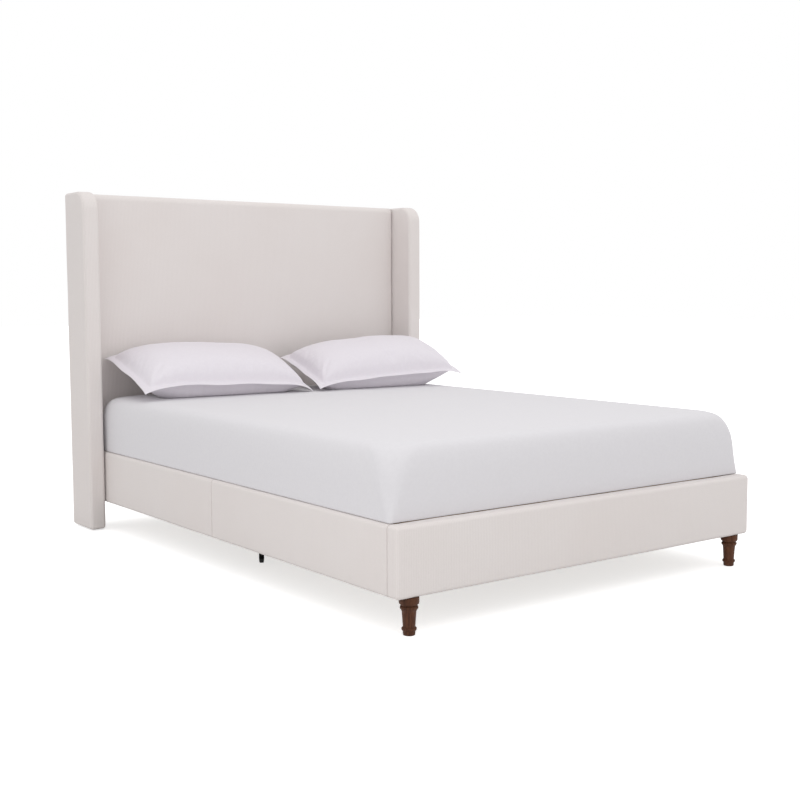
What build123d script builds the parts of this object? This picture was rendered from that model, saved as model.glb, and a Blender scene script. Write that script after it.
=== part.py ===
from build123d import *
import os

# A queen size upholstered bed with a winged headboard, made up with its mattress and two pillows.
# X runs across the bed, Y from the foot to the head and Z up from the floor.
# The origin lies on the floor under the middle of the bed. Left is -X, seen from the foot.

os.makedirs("parts", exist_ok=True)

# Mattress, which sets the size of the bed round it
mattress_width = 1524
mattress_length = 2032
mattress_height = 222
mattress_corner = 112
mattress_roll = 46
sheet_thickness = 1.2
seat_gap = 0.3

# Height share of the mattress, inset share of its roll and radius share of its corner, from the bottom up
mattress_ring_shares = (
    (0.000, 0.03, 0.14),
    (0.030, 0.00, 0.17),
    (0.080, 0.00, 0.20),
    (0.500, 0.00, 0.46),
    (0.780, 0.03, 0.72),
    (0.880, 0.16, 0.84),
    (0.945, 0.42, 0.94),
    (0.980, 0.86, 1.00),
    (0.992, 1.60, 1.00),
    (1.000, 5.00, 1.00),
)

# Outer frame
leg_height = 112
rail_height = 209
rail_overhang = 14
wing_gap = 5
wing_thickness = 67
wing_depth = 193
wing_corner = 72
wing_edge = 9
glide_height = 5
glide_radius = 11
glide_inset = 46
overall_height = 1372
footboard_thickness = 47
headboard_thickness = 60
mattress_foot_gap = 3
mattress_head_gap = 34

# Upholstery layers
fabric = 1.5
layer_gap = 0.3
thin_foam = 6
edge_round = 13
headboard_roll = 26
headboard_wrap = 10
back_cloth = 1

# Headboard timber
batten_depth = 26
batten_width = 60
panel_thickness = 5

# Side rail timber
rail_board = 25
lip_width = 9
cleat_width = 25
cleat_height = 40

# Slats and centre support
slat_count = 14
slat_width = 68
slat_thickness = 18
slat_end_gap = 3
strap_width = 25
strap_thickness = 1
strap_inset = 402
beam_width = 38
beam_height = 60
hanger_plate = 2.5
hanger_reach = 40
hanger_gap = 0.3

# Steel corner brackets and joint plates
plate = 3
bracket_reach = 60
bracket_height = 88
bracket_lift = 54
joint_plate_length = 180
joint_plate_height = 92
joint_plate_lift = 24

# Threaded fasteners, as shank radius and length, and head radius and height
bolt_radius = 4
bolt_clear = 0.3
frame_bolt_length = 25
headboard_bolt_length = 58
wing_bolt_length = 116
bolt_head_radius = 6.5
bolt_head_height = 5
bolt_margin = 18
wing_bolt_rise = 9.368
wing_bolt_shares = (0.42, 0.88)
leg_bolt_rise = 40
leg_bolt_sink = 34
screw_radius = 2
screw_length = 42
screw_head_radius = 4
screw_head_height = 2.4
screw_clear = 0.1

# Support legs with levelling feet
support_inset = 198
support_radius = 9.5
support_flange_radius = 18
support_flange = 3
foot_height = 14
foot_tip_radius = 8
stem_radius = 4
stem_length = 42
stem_clear = 0.05

# Turned front legs
leg_inset_side = 65
leg_inset_front = 31
leg_top_radius = 29.5
corner_block_width = 76
corner_block_depth = 44
corner_block_height = 46

# Pillows in flanged shams. A full sham draws up a little, and the right one more than the left.
left_sham_extra = 12
left_sham_depth = 430
right_sham_short = 29
right_sham_depth = 406
sham_flange = 30
sham_flange_thickness = 3.6
sham_side_pull = 9
sham_end_pull = 7
sham_corner = 9
sham_fabric = 1.2
pillow_corner = 120
pillow_tilt = 16.6
left_pillow_rise = 111
left_pillow_shift = 39
left_pillow_setback = 224
left_pillow_lift = 85
left_pillow_roll = 1.7
left_pillow_turn = -1.1
right_pillow_rise = 105
right_pillow_shift = 53
right_pillow_setback = 300
right_pillow_lift = 99
right_pillow_roll = -4.6
right_pillow_turn = -4.4

# Height share of the pillow's rise, inset share of half its depth and radius share of its corner
pillow_ring_shares = (
    (0.00, 0.00, 0.50),
    (0.22, 0.03, 0.56),
    (0.44, 0.10, 0.66),
    (0.64, 0.23, 0.78),
    (0.80, 0.39, 0.86),
    (0.91, 0.57, 0.88),
    (0.97, 0.74, 0.84),
    (1.00, 0.90, 0.70),
)

# Places worked out from the sizes above
bed_length = (
    footboard_thickness + mattress_foot_gap + mattress_length + mattress_head_gap + headboard_thickness
)
foot_front = -bed_length / 2
foot_back = foot_front + footboard_thickness
head_back = bed_length / 2
head_front = head_back - headboard_thickness
rail_half = mattress_width / 2 + rail_overhang
wing_inner = rail_half + wing_gap
wing_outer = wing_inner + wing_thickness
wing_front = head_back - wing_depth
wing_middle = (wing_inner + wing_outer) / 2
deck_top = leg_height + rail_height
slat_bottom = deck_top - slat_thickness
padding = fabric + thin_foam + 2 * layer_gap
board_outer = rail_half - padding
board_inner = board_outer - rail_board
lip_inner = board_inner - fabric
plate_inner = board_inner - plate
rail_middle = (foot_back + head_front) / 2
beam_bottom = slat_bottom - beam_height
hanger_outer = beam_width + 2 * (hanger_gap + hanger_plate)
frame_front = head_back - back_cloth - batten_depth
panel_front = frame_front - panel_thickness
frame_half = wing_inner - layer_gap - fabric - layer_gap - headboard_wrap
frame_top = overall_height - fabric - layer_gap - headboard_wrap
frame_bottom = leg_height + fabric + layer_gap
bracket_bottom = leg_height + bracket_lift
bracket_middle = bracket_bottom + bracket_height / 2
bolt_spread = bracket_height / 2 - bolt_margin
leg_x = rail_half - leg_inset_side
leg_y = foot_front + leg_inset_front
support_place = rail_half - support_inset
strap_place = mattress_width / 2 - strap_inset
left_sham_width = mattress_width / 2 + left_sham_extra
right_sham_width = mattress_width / 2 - right_sham_short
left_pillow_middle = left_pillow_shift - mattress_width / 4
right_pillow_middle = right_pillow_shift + mattress_width / 4
sides =(("left", -1), ("right", 1))


def block(corner, opposite, mode=Mode.ADD):
    """A rectangular block between two opposite corners."""
    first, last = Vector(*corner), Vector(*opposite)
    size = last - first
    with Locations((first + last) / 2):
        Box(abs(size.X), abs(size.Y), abs(size.Z), mode=mode)


def rod(start, end, radius, mode=Mode.ADD):
    """A round rod, or the hole for one, from one point to another."""
    along = Vector(*end) - Vector(*start)
    with Locations(Plane(origin=start, z_dir=along.normalized())):
        Cylinder(radius, along.length, align=(Align.CENTER, Align.CENTER, Align.MIN), mode=mode)


def bolts(lines):
    """Cheese-headed bolts, one along each line, with the head behind its first point."""
    for start, end in lines:
        rod(start, end, bolt_radius)
        outward = (Vector(*start) - Vector(*end)).normalized()
        head_start = Vector(*start) + outward * bolt_head_height
        rod(tuple(head_start), start, bolt_head_radius)


def bolt_holes(lines):
    """Clearance holes for the shanks of a set of bolts."""
    for start, end in lines:
        rod(start, end, bolt_radius + bolt_clear, mode=Mode.SUBTRACT)


def rounded_block(corner, opposite, radius):
    """A block with all of its edges rounded alike."""
    with BuildPart() as body:
        block(corner, opposite)
        fillet(body.edges(), radius)
    return body.part


def ring_loft(plane, rings):
    """A soft solid lofted through rounded rectangles of a height, width, depth and corner radius."""
    with BuildPart() as body:
        for height, width, depth, radius in rings:
            with BuildSketch(plane.offset(height)):
                RectangleRounded(width, depth, radius)
        loft(ruled=True)
    return body.part


# Lines of the bolts, each from under its head to its tip.
# The lowest wing bolt clears the brackets and the others go by shares of the frame's height.
wing_bolt_heights = [bracket_bottom + bracket_height + wing_bolt_rise]
wing_bolt_heights += [
    frame_bottom + (frame_top - frame_bottom) * share for share in wing_bolt_shares
]
wing_bolt_y = frame_front + batten_depth / 2
wing_bolt_lines = {
    sign: [
        (
            (sign * (frame_half - batten_width), wing_bolt_y, height),
            (sign * (frame_half - batten_width + wing_bolt_length), wing_bolt_y, height),
        )
        for height in wing_bolt_heights
    ]
    for _, sign in sides
}
bracket_bolt_heights = (bracket_middle - bolt_spread, bracket_middle + bolt_spread)
bracket_bolt_x = plate_inner - bracket_reach / 2
headboard_bolt_lines = [
    (
        (sign * bracket_bolt_x, head_front - plate, height),
        (sign * bracket_bolt_x, head_front - plate + headboard_bolt_length, height),
    )
    for _, sign in sides
    for height in bracket_bolt_heights
]
footboard_bolt_lines = [
    (
        (sign * bracket_bolt_x, foot_back + plate, height),
        (sign * bracket_bolt_x, foot_back + plate - frame_bolt_length, height),
    )
    for _, sign in sides
    for height in bracket_bolt_heights
]
rail_end_bolt_y = (foot_back + bracket_reach - bolt_margin, head_front - bracket_reach + bolt_margin)
joint_bolt_y = (
    rail_middle - joint_plate_length / 2 + bolt_margin,
    rail_middle + joint_plate_length / 2 - bolt_margin,
)
joint_plate_bottom = leg_height + joint_plate_lift
joint_bolt_heights = (
    joint_plate_bottom + bolt_margin,
    joint_plate_bottom + joint_plate_height - bolt_margin,
)
rail_bolt_lines = {
    sign: [
        ((sign * plate_inner, y, height), (sign * (plate_inner + frame_bolt_length), y, height))
        for places, heights in (
            (rail_end_bolt_y, bracket_bolt_heights),
            (joint_bolt_y, joint_bolt_heights),
        )
        for y in places
        for height in heights
    ]
    for _, sign in sides
}
leg_bolt_lines = [
    ((sign * leg_x, leg_y, leg_height - leg_bolt_sink), (sign * leg_x, leg_y, leg_height + leg_bolt_rise))
    for _, sign in sides
]

# Headboard timber: a ladder of battens behind a thin panel
frame_back = head_back - back_cloth
for side, sign in sides:
    with BuildPart() as stile:
        block(
            (sign * frame_half, frame_front, frame_bottom),
            (sign * (frame_half - batten_width), frame_back, frame_top),
        )
        bolt_holes(wing_bolt_lines[sign])
        bolt_holes(headboard_bolt_lines)
    stile.part.label = f"headboard_{side}_stile"
    export_step(stile.part, f"parts/headboard_{side}_stile.step")

rail_length_half = frame_half - batten_width
for name, bottom in (
    ("top", frame_top - batten_width),
    ("middle", (frame_top + frame_bottom - batten_width) / 2),
    ("bottom", frame_bottom),
):
    with BuildPart() as cross_batten:
        block(
            (-rail_length_half, frame_front, bottom),
            (rail_length_half, frame_back, bottom + batten_width),
        )
    cross_batten.part.label = f"headboard_{name}_rail"
    export_step(cross_batten.part, f"parts/headboard_{name}_rail.step")

with BuildPart() as headboard_panel:
    block((-frame_half, panel_front, frame_bottom), (frame_half, frame_front, frame_top))
    bolt_holes(headboard_bolt_lines)
headboard_panel.part.label = "headboard_panel"
export_step(headboard_panel.part, "parts/headboard_panel.step")


def headboard_pad(inset, back):
    """The headboard's padded block drawn in by an inset, with soft rolls round its front face."""
    half = wing_inner - layer_gap - inset
    with BuildPart() as pad:
        block(
            (-half, head_front + inset, leg_height + inset),
            (half, back, overall_height - inset),
        )
        fillet(pad.faces().sort_by(Axis.Y)[0].edges(), headboard_roll - inset)
    return pad.part


foam_pad = headboard_pad(fabric + layer_gap, frame_back)
with BuildPart() as headboard_foam:
    add(foam_pad)
    block(
        (-frame_half, panel_front, leg_height),
        (frame_half, frame_back, frame_top),
        mode=Mode.SUBTRACT,
    )
    bolt_holes(headboard_bolt_lines)
    for _, sign in sides:
        bolt_holes(wing_bolt_lines[sign])
headboard_foam.part.label = "headboard_foam"
export_step(headboard_foam.part, "parts/headboard_foam.step")

cover_pad = headboard_pad(0, frame_back)
cover_cavity = headboard_pad(fabric, head_back)
with BuildPart() as headboard_cover:
    add(cover_pad)
    add(cover_cavity, mode=Mode.SUBTRACT)
    bolt_holes(headboard_bolt_lines)
    for _, sign in sides:
        bolt_holes(wing_bolt_lines[sign])
headboard_cover.part.label = "headboard_cover"
export_step(headboard_cover.part, "parts/headboard_cover.step")

with BuildPart() as headboard_back_cloth:
    block(
        (layer_gap - wing_inner, frame_back, leg_height),
        (wing_inner - layer_gap, head_back, overall_height),
    )
headboard_back_cloth.part.label = "headboard_back_cloth"
export_step(headboard_back_cloth.part, "parts/headboard_back_cloth.step")


def wing_body(sign, inset, radius):
    """A wing drawn in on every face by an inset, with its large round corner at the top front."""
    low_x = min(sign * (wing_inner + inset), sign * (wing_outer - inset))
    with BuildPart() as body:
        with BuildSketch(Plane.YZ.offset(low_x)) as outline:
            with Locations(((wing_front + head_back) / 2, (glide_height + overall_height) / 2)):
                Rectangle(wing_depth - 2 * inset, overall_height - glide_height - 2 * inset)
            front_top = outline.vertices().sort_by(Axis.Y)[-2:].sort_by(Axis.X)[0]
            fillet(front_top, wing_corner - inset)
        extrude(amount=wing_thickness - 2 * inset)
        if radius > 0:
            fillet(body.edges(), radius)
    return body.part


# Wings: a timber core in foam and fabric, standing on glides
for side, sign in sides:
    core_body = wing_body(sign, padding, 0)
    foam_body = wing_body(sign, fabric + layer_gap, wing_edge - fabric - layer_gap)
    foam_cavity = wing_body(sign, padding - layer_gap, 0)
    cover_body = wing_body(sign, 0, wing_edge)
    wing_cavity = wing_body(sign, fabric, wing_edge - fabric)

    with BuildPart() as wing_core:
        add(core_body)
        bolt_holes(wing_bolt_lines[sign])
    wing_core.part.label = f"{side}_wing_core"
    export_step(wing_core.part, f"parts/{side}_wing_core.step")

    with BuildPart() as wing_foam:
        add(foam_body)
        add(foam_cavity, mode=Mode.SUBTRACT)
        bolt_holes(wing_bolt_lines[sign])
    wing_foam.part.label = f"{side}_wing_foam"
    export_step(wing_foam.part, f"parts/{side}_wing_foam.step")

    with BuildPart() as wing_cover:
        add(cover_body)
        add(wing_cavity, mode=Mode.SUBTRACT)
        bolt_holes(wing_bolt_lines[sign])
    wing_cover.part.label = f"{side}_wing_cover"
    export_step(wing_cover.part, f"parts/{side}_wing_cover.step")

with BuildPart() as wing_bolts:
    for _, sign in sides:
        bolts(wing_bolt_lines[sign])
wing_bolts.part.label = "wing_bolts"
export_step(wing_bolts.part, "parts/wing_bolts.step")

with BuildPart() as wing_glides:
    for _, sign in sides:
        for y in (wing_front + glide_inset, head_back - glide_inset):
            rod((sign * wing_middle, y, 0), (sign * wing_middle, y, glide_height), glide_radius)
wing_glides.part.label = "wing_glides"
export_step(wing_glides.part, "parts/wing_glides.step")

# Footboard: a solid core in foam and fabric, as high as the deck


def footboard_body(inset, radius):
    """The footboard drawn in on every face by an inset."""
    corner = (inset - rail_half, foot_front + inset, leg_height + inset)
    opposite = (rail_half - inset, foot_back - inset, deck_top - inset)
    return rounded_block(corner, opposite, radius)


def footboard_holes():
    """The holes that the footboard's layers share, for the corner bolts and the leg bolts."""
    bolt_holes(footboard_bolt_lines)
    bolt_holes(leg_bolt_lines)


footboard_outer = footboard_body(0, edge_round)
footboard_cavity = footboard_body(fabric, edge_round - fabric)
footboard_pad = footboard_body(fabric + layer_gap, edge_round - fabric - layer_gap)
core_edge = edge_round - padding
footboard_hollow = footboard_body(padding - layer_gap, core_edge)
footboard_solid = footboard_body(padding, core_edge)

with BuildPart() as footboard_core:
    add(footboard_solid)
    footboard_holes()
footboard_core.part.label = "footboard_core"
export_step(footboard_core.part, "parts/footboard_core.step")

with BuildPart() as footboard_foam:
    add(footboard_pad)
    add(footboard_hollow, mode=Mode.SUBTRACT)
    footboard_holes()
footboard_foam.part.label = "footboard_foam"
export_step(footboard_foam.part, "parts/footboard_foam.step")

with BuildPart() as footboard_cover:
    add(footboard_outer)
    add(footboard_cavity, mode=Mode.SUBTRACT)
    footboard_holes()
footboard_cover.part.label = "footboard_cover"
export_step(footboard_cover.part, "parts/footboard_cover.step")

with BuildPart() as corner_blocks:
    for _, sign in sides:
        block(
            (sign * lip_inner, foot_back, leg_height),
            (
                sign * (lip_inner - corner_block_width),
                foot_back + corner_block_depth,
                leg_height + corner_block_height,
            ),
        )
corner_blocks.part.label = "corner_blocks"
export_step(corner_blocks.part, "parts/corner_blocks.step")

# Turned front legs. Each profile point is a radius share and a height share of the leg.
leg_foot_shares = ((0.56, 0.00), (0.61, 0.02), (0.62, 0.115))
leg_bead_shares = ((0.75, 0.165), (0.62, 0.215))
leg_shaft_shares = ((0.62, 0.25), (0.67, 0.45), (0.725, 0.64))
leg_cove_shares = ((0.78, 0.65), (0.80, 0.665))
leg_ring_shares = ((0.90, 0.715), (0.80, 0.765))
leg_flange_shares = ((0.84, 0.785), (0.97, 0.81), (1.00, 0.86), (1.00, 1.00))


def leg_points(shares):
    """Points of the leg's profile in its own upright plane."""
    return [(leg_top_radius * across, leg_height * up) for across, up in shares]


for side, sign in sides:
    with BuildPart() as front_leg:
        with BuildSketch(Plane((sign * leg_x, leg_y, 0), x_dir=(1, 0, 0), z_dir=(0, -1, 0))):
            with BuildLine():
                foot = leg_points(leg_foot_shares)
                bead = leg_points(leg_bead_shares)
                shaft = leg_points(leg_shaft_shares)
                cove = leg_points(leg_cove_shares)
                ring = leg_points(leg_ring_shares)
                flange = leg_points(leg_flange_shares)
                Polyline((0, 0), *foot)
                ThreePointArc(foot[-1], *bead)
                Line(bead[-1], shaft[0])
                ThreePointArc(*shaft)
                Polyline(shaft[-1], *cove)
                ThreePointArc(cove[-1], *ring)
                Polyline(ring[-1], *flange, (0, leg_height), (0, 0))
            make_face()
        revolve(axis=Axis((sign * leg_x, leg_y, 0), (0, 0, 1)))
        bolt_holes(leg_bolt_lines)
    front_leg.part.label = f"{side}_front_leg"
    export_step(front_leg.part, f"parts/{side}_front_leg.step")

with BuildPart() as leg_bolts:
    for start, end in leg_bolt_lines:
        rod(start, end, bolt_radius)
leg_bolts.part.label = "leg_bolts"
export_step(leg_bolts.part, "parts/leg_bolts.step")

# Slats and the screws that hold the end slats of each roll
deck_length = head_front - foot_back
slat_pitch = deck_length / slat_count
slat_places = [foot_back + slat_pitch * (index + 0.5) for index in range(slat_count)]
roll_size = slat_count // 2
slat_rolls = {"front": slat_places[:roll_size], "rear": slat_places[roll_size:]}
slat_half = board_inner - slat_end_gap
cleat_middle = board_inner - cleat_width / 2
screw_places = [
    (sign * cleat_middle, roll[end])
    for _, sign in sides
    for roll in slat_rolls.values()
    for end in (0, -1)
]


def screw_bodies(clear):
    """The countersunk slat screws, or with a clearance the holes for them."""
    shank = screw_radius + clear
    for x, y in screw_places:
        with Locations((x, y, deck_top - screw_head_height / 2)):
            Cone(shank, screw_head_radius + clear, screw_head_height)
        rod((x, y, deck_top - screw_head_height), (x, y, deck_top - screw_length), shank)


with BuildPart() as slat_screws:
    screw_bodies(0)
slat_screws.part.label = "slat_screws"
export_step(slat_screws.part, "parts/slat_screws.step")

with BuildPart() as screw_holes:
    screw_bodies(screw_clear)

for roll_name, roll in slat_rolls.items():
    with BuildPart() as slats:
        for y in roll:
            block(
                (-slat_half, y - slat_width / 2, slat_bottom),
                (slat_half, y + slat_width / 2, deck_top),
            )
        add(screw_holes.part, mode=Mode.SUBTRACT)
    slats.part.label = f"{roll_name}_slats"
    export_step(slats.part, f"parts/{roll_name}_slats.step")

with BuildPart() as slat_straps:
    for roll in slat_rolls.values():
        for _, sign in sides:
            middle = sign * strap_place
            block(
                (middle - strap_width / 2, roll[0] - slat_width / 2, slat_bottom - strap_thickness),
                (middle + strap_width / 2, roll[-1] + slat_width / 2, slat_bottom),
            )
slat_straps.part.label = "slat_straps"
export_step(slat_straps.part, "parts/slat_straps.step")

# Side rails, each in two halves that meet at a plated joint
cleat_stop = hanger_outer / 2 + hanger_gap
for half_name, start_y, end_y, cleat_start, cleat_end in (
    ("front", foot_back, rail_middle, foot_back, rail_middle - cleat_stop),
    ("rear", rail_middle, head_front, rail_middle + cleat_stop, head_front),
):
    for side, sign in sides:
        rail_outer = rounded_block(
            (sign * lip_inner, start_y - edge_round, leg_height),
            (sign * rail_half, end_y + edge_round, deck_top),
            edge_round,
        )
        with BuildPart() as rail_cover:
            add(rail_outer)
            block(
                (sign * lip_inner, start_y, leg_height),
                (sign * rail_half, start_y - edge_round, deck_top),
                mode=Mode.SUBTRACT,
            )
            block(
                (sign * lip_inner, end_y, leg_height),
                (sign * rail_half, end_y + edge_round, deck_top),
                mode=Mode.SUBTRACT,
            )
            block(
                (sign * board_inner, start_y, leg_height + padding - layer_gap),
                (sign * (board_outer + layer_gap), end_y, deck_top - padding + layer_gap),
                mode=Mode.SUBTRACT,
            )
            block(
                (sign * lip_inner, start_y, leg_height + padding + lip_width),
                (sign * board_inner, end_y, deck_top - padding - lip_width),
                mode=Mode.SUBTRACT,
            )
        rail_cover.part.label = f"{side}_{half_name}_rail_cover"
        export_step(rail_cover.part, f"parts/{side}_{half_name}_rail_cover.step")

        with BuildPart() as rail_core:
            block(
                (sign * board_inner, start_y, leg_height + padding),
                (sign * board_outer, end_y, deck_top - padding),
            )
            bolt_holes(rail_bolt_lines[sign])
        rail_core.part.label = f"{side}_{half_name}_rail_board"
        export_step(rail_core.part, f"parts/{side}_{half_name}_rail_board.step")

        with BuildPart() as cleat:
            block(
                (sign * board_inner, cleat_start, slat_bottom - cleat_height),
                (sign * (board_inner - cleat_width), cleat_end, slat_bottom),
            )
            add(screw_holes.part, mode=Mode.SUBTRACT)
        cleat.part.label = f"{side}_{half_name}_cleat"
        export_step(cleat.part, f"parts/{side}_{half_name}_cleat.step")

# Steel angle brackets in the four corners, plates over the rail joints, and their bolts
with BuildPart() as corner_brackets:
    for _, sign in sides:
        for face_y, inward in ((foot_back, 1), (head_front, -1)):
            block(
                (sign * board_inner, face_y, bracket_bottom),
                (sign * plate_inner, face_y + inward * bracket_reach, bracket_bottom + bracket_height),
            )
            block(
                (sign * plate_inner, face_y, bracket_bottom),
                (
                    sign * (plate_inner - bracket_reach),
                    face_y + inward * plate,
                    bracket_bottom + bracket_height,
                ),
            )
        bolt_holes(rail_bolt_lines[sign])
    bolt_holes(headboard_bolt_lines)
    bolt_holes(footboard_bolt_lines)
corner_brackets.part.label = "corner_brackets"
export_step(corner_brackets.part, "parts/corner_brackets.step")

with BuildPart() as joint_plates:
    for _, sign in sides:
        block(
            (sign * board_inner, rail_middle - joint_plate_length / 2, joint_plate_bottom),
            (
                sign * plate_inner,
                rail_middle + joint_plate_length / 2,
                joint_plate_bottom + joint_plate_height,
            ),
        )
        bolt_holes(rail_bolt_lines[sign])
joint_plates.part.label = "joint_plates"
export_step(joint_plates.part, "parts/joint_plates.step")

with BuildPart() as frame_bolts:
    for _, sign in sides:
        bolts(rail_bolt_lines[sign])
    bolts(footboard_bolt_lines)
frame_bolts.part.label = "frame_bolts"
export_step(frame_bolts.part, "parts/frame_bolts.step")

with BuildPart() as headboard_bolts:
    bolts(headboard_bolt_lines)
headboard_bolts.part.label = "headboard_bolts"
export_step(headboard_bolts.part, "parts/headboard_bolts.step")

# Centre support: a beam across the rail joint, and a beam along each half of the bed
cross_end = board_inner - hanger_plate - hanger_gap
with BuildPart() as cross_beam:
    block(
        (-cross_end, rail_middle - beam_width / 2, beam_bottom),
        (cross_end, rail_middle + beam_width / 2, slat_bottom - strap_thickness),
    )
cross_beam.part.label = "cross_beam"
export_step(cross_beam.part, "parts/cross_beam.step")

beam_ends = {
    "front": (foot_back, rail_middle - beam_width / 2),
    "rear": (rail_middle + beam_width / 2, head_front),
}
end_room = hanger_plate + hanger_gap
for half_name, (start_y, end_y) in beam_ends.items():
    with BuildPart() as centre_beam:
        block(
            (-beam_width / 2, start_y + end_room, beam_bottom),
            (beam_width / 2, end_y - end_room, slat_bottom),
        )
    centre_beam.part.label = f"{half_name}_centre_beam"
    export_step(centre_beam.part, f"parts/{half_name}_centre_beam.step")

hanger_faces = [
    Plane((0, start_y, beam_bottom), x_dir=(-1, 0, 0), z_dir=(0, 1, 0))
    for start_y, _ in beam_ends.values()
]
hanger_faces += [
    Plane((0, end_y, beam_bottom), x_dir=(1, 0, 0), z_dir=(0, -1, 0)) for _, end_y in beam_ends.values()
]
hanger_faces += [
    Plane((sign * board_inner, rail_middle, beam_bottom), x_dir=(0, -sign, 0), z_dir=(-sign, 0, 0))
    for _, sign in sides
]
with BuildPart() as beam_hangers:
    for face in hanger_faces:
        with BuildSketch(face):
            with Locations((0, (beam_height - hanger_plate) / 2 - hanger_plate / 2)):
                Rectangle(hanger_outer, beam_height - hanger_plate)
        extrude(amount=hanger_reach)
    for face in hanger_faces:
        with BuildSketch(face.offset(hanger_plate)):
            with Locations((0, beam_height / 2)):
                Rectangle(beam_width + 2 * hanger_gap, beam_height)
        extrude(amount=hanger_reach, mode=Mode.SUBTRACT)
beam_hangers.part.label = "beam_hangers"
export_step(beam_hangers.part, "parts/beam_hangers.step")

# Support legs under the cross beam, with feet that screw out to level them
for leg_name, leg_place in (("left", -support_place), ("centre", 0), ("right", support_place)):
    foot_top_z = foot_height
    with BuildPart() as support_leg:
        rod(
            (leg_place, rail_middle, foot_top_z),
            (leg_place, rail_middle, beam_bottom),
            support_radius,
        )
        rod(
            (leg_place, rail_middle, beam_bottom - support_flange),
            (leg_place, rail_middle, beam_bottom),
            support_flange_radius,
        )
        rod(
            (leg_place, rail_middle, foot_top_z),
            (leg_place, rail_middle, foot_top_z + stem_length + seat_gap),
            stem_radius + stem_clear,
            mode=Mode.SUBTRACT,
        )
    support_leg.part.label = f"{leg_name}_support_leg"
    export_step(support_leg.part, f"parts/{leg_name}_support_leg.step")

    with BuildPart() as levelling_foot:
        with BuildSketch(Plane((leg_place, rail_middle, 0))):
            Circle(foot_tip_radius)
        with BuildSketch(Plane((leg_place, rail_middle, foot_height - seat_gap))):
            Circle(support_radius)
        loft()
        rod(
            (leg_place, rail_middle, foot_height - seat_gap),
            (leg_place, rail_middle, foot_height - seat_gap + stem_length),
            stem_radius,
        )
    levelling_foot.part.label = f"{leg_name}_levelling_foot"
    export_step(levelling_foot.part, f"parts/{leg_name}_levelling_foot.step")

# Mattress and its fitted sheet
mattress_bottom = deck_top + seat_gap
mattress_top = mattress_bottom + mattress_height
mattress_y = foot_back + mattress_foot_gap + mattress_length / 2


def mattress_body(grow):
    """The mattress, its sides drawn in at the seams and its top crowned, grown outwards all round."""
    rings = []
    for height_share, inset_share, radius_share in mattress_ring_shares:
        inset = inset_share * mattress_roll - grow
        rings.append(
            (
                height_share * (mattress_height + grow),
                mattress_width - 2 * inset,
                mattress_length - 2 * inset,
                radius_share * mattress_corner + grow,
            )
        )
    return ring_loft(Plane((0, mattress_y, mattress_bottom)), rings)


mattress_solid = mattress_body(0)
with BuildPart() as mattress:
    add(mattress_solid)
mattress.part.label = "mattress"
export_step(mattress.part, "parts/mattress.step")

sheet_outer = mattress_body(seat_gap + sheet_thickness)
sheet_inner = mattress_body(seat_gap)
with BuildPart() as fitted_sheet:
    add(sheet_outer)
    add(sheet_inner, mode=Mode.SUBTRACT)
fitted_sheet.part.label = "fitted_sheet"
export_step(fitted_sheet.part, "parts/fitted_sheet.step")

# Pillows, each stuffed into a sham with a flat flange and leaning back on the mattress
sheet_top = mattress_top + seat_gap + sheet_thickness


def pillow_body(plane, width, depth, rise, shrink):
    """A plump pillow with a crown above and below its middle plane, drawn in all round."""
    halves = []
    for direction in (1, -1):
        rings = []
        for rise_share, inset_share, radius_share in pillow_ring_shares:
            inset = sham_flange + inset_share * (depth / 2 - sham_flange) + shrink
            rings.append(
                (
                    direction * rise_share * (rise - shrink),
                    width - 2 * inset,
                    depth - 2 * inset,
                    radius_share * min(pillow_corner, depth / 2 - inset),
                )
            )
        halves.append(ring_loft(plane, rings))
    with BuildPart() as body:
        for half in halves:
            add(half)
    return body.part


def sham_flange_body(plane, width, depth):
    """The sham's flat flange, its sides drawn in between the corners."""
    half_width, half_depth = width / 2, depth / 2
    with BuildPart() as body:
        with BuildSketch(plane.offset(-sham_flange_thickness / 2)) as outline:
            with BuildLine():
                for across in (1, -1):
                    ThreePointArc(
                        (across * half_width, -half_depth),
                        (across * (half_width - sham_end_pull), 0),
                        (across * half_width, half_depth),
                    )
                    ThreePointArc(
                        (-half_width, across * half_depth),
                        (0, across * (half_depth - sham_side_pull)),
                        (half_width, across * half_depth),
                    )
            make_face()
            fillet(outline.vertices(), sham_corner)
        extrude(amount=sham_flange_thickness)
    return body.part


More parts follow.
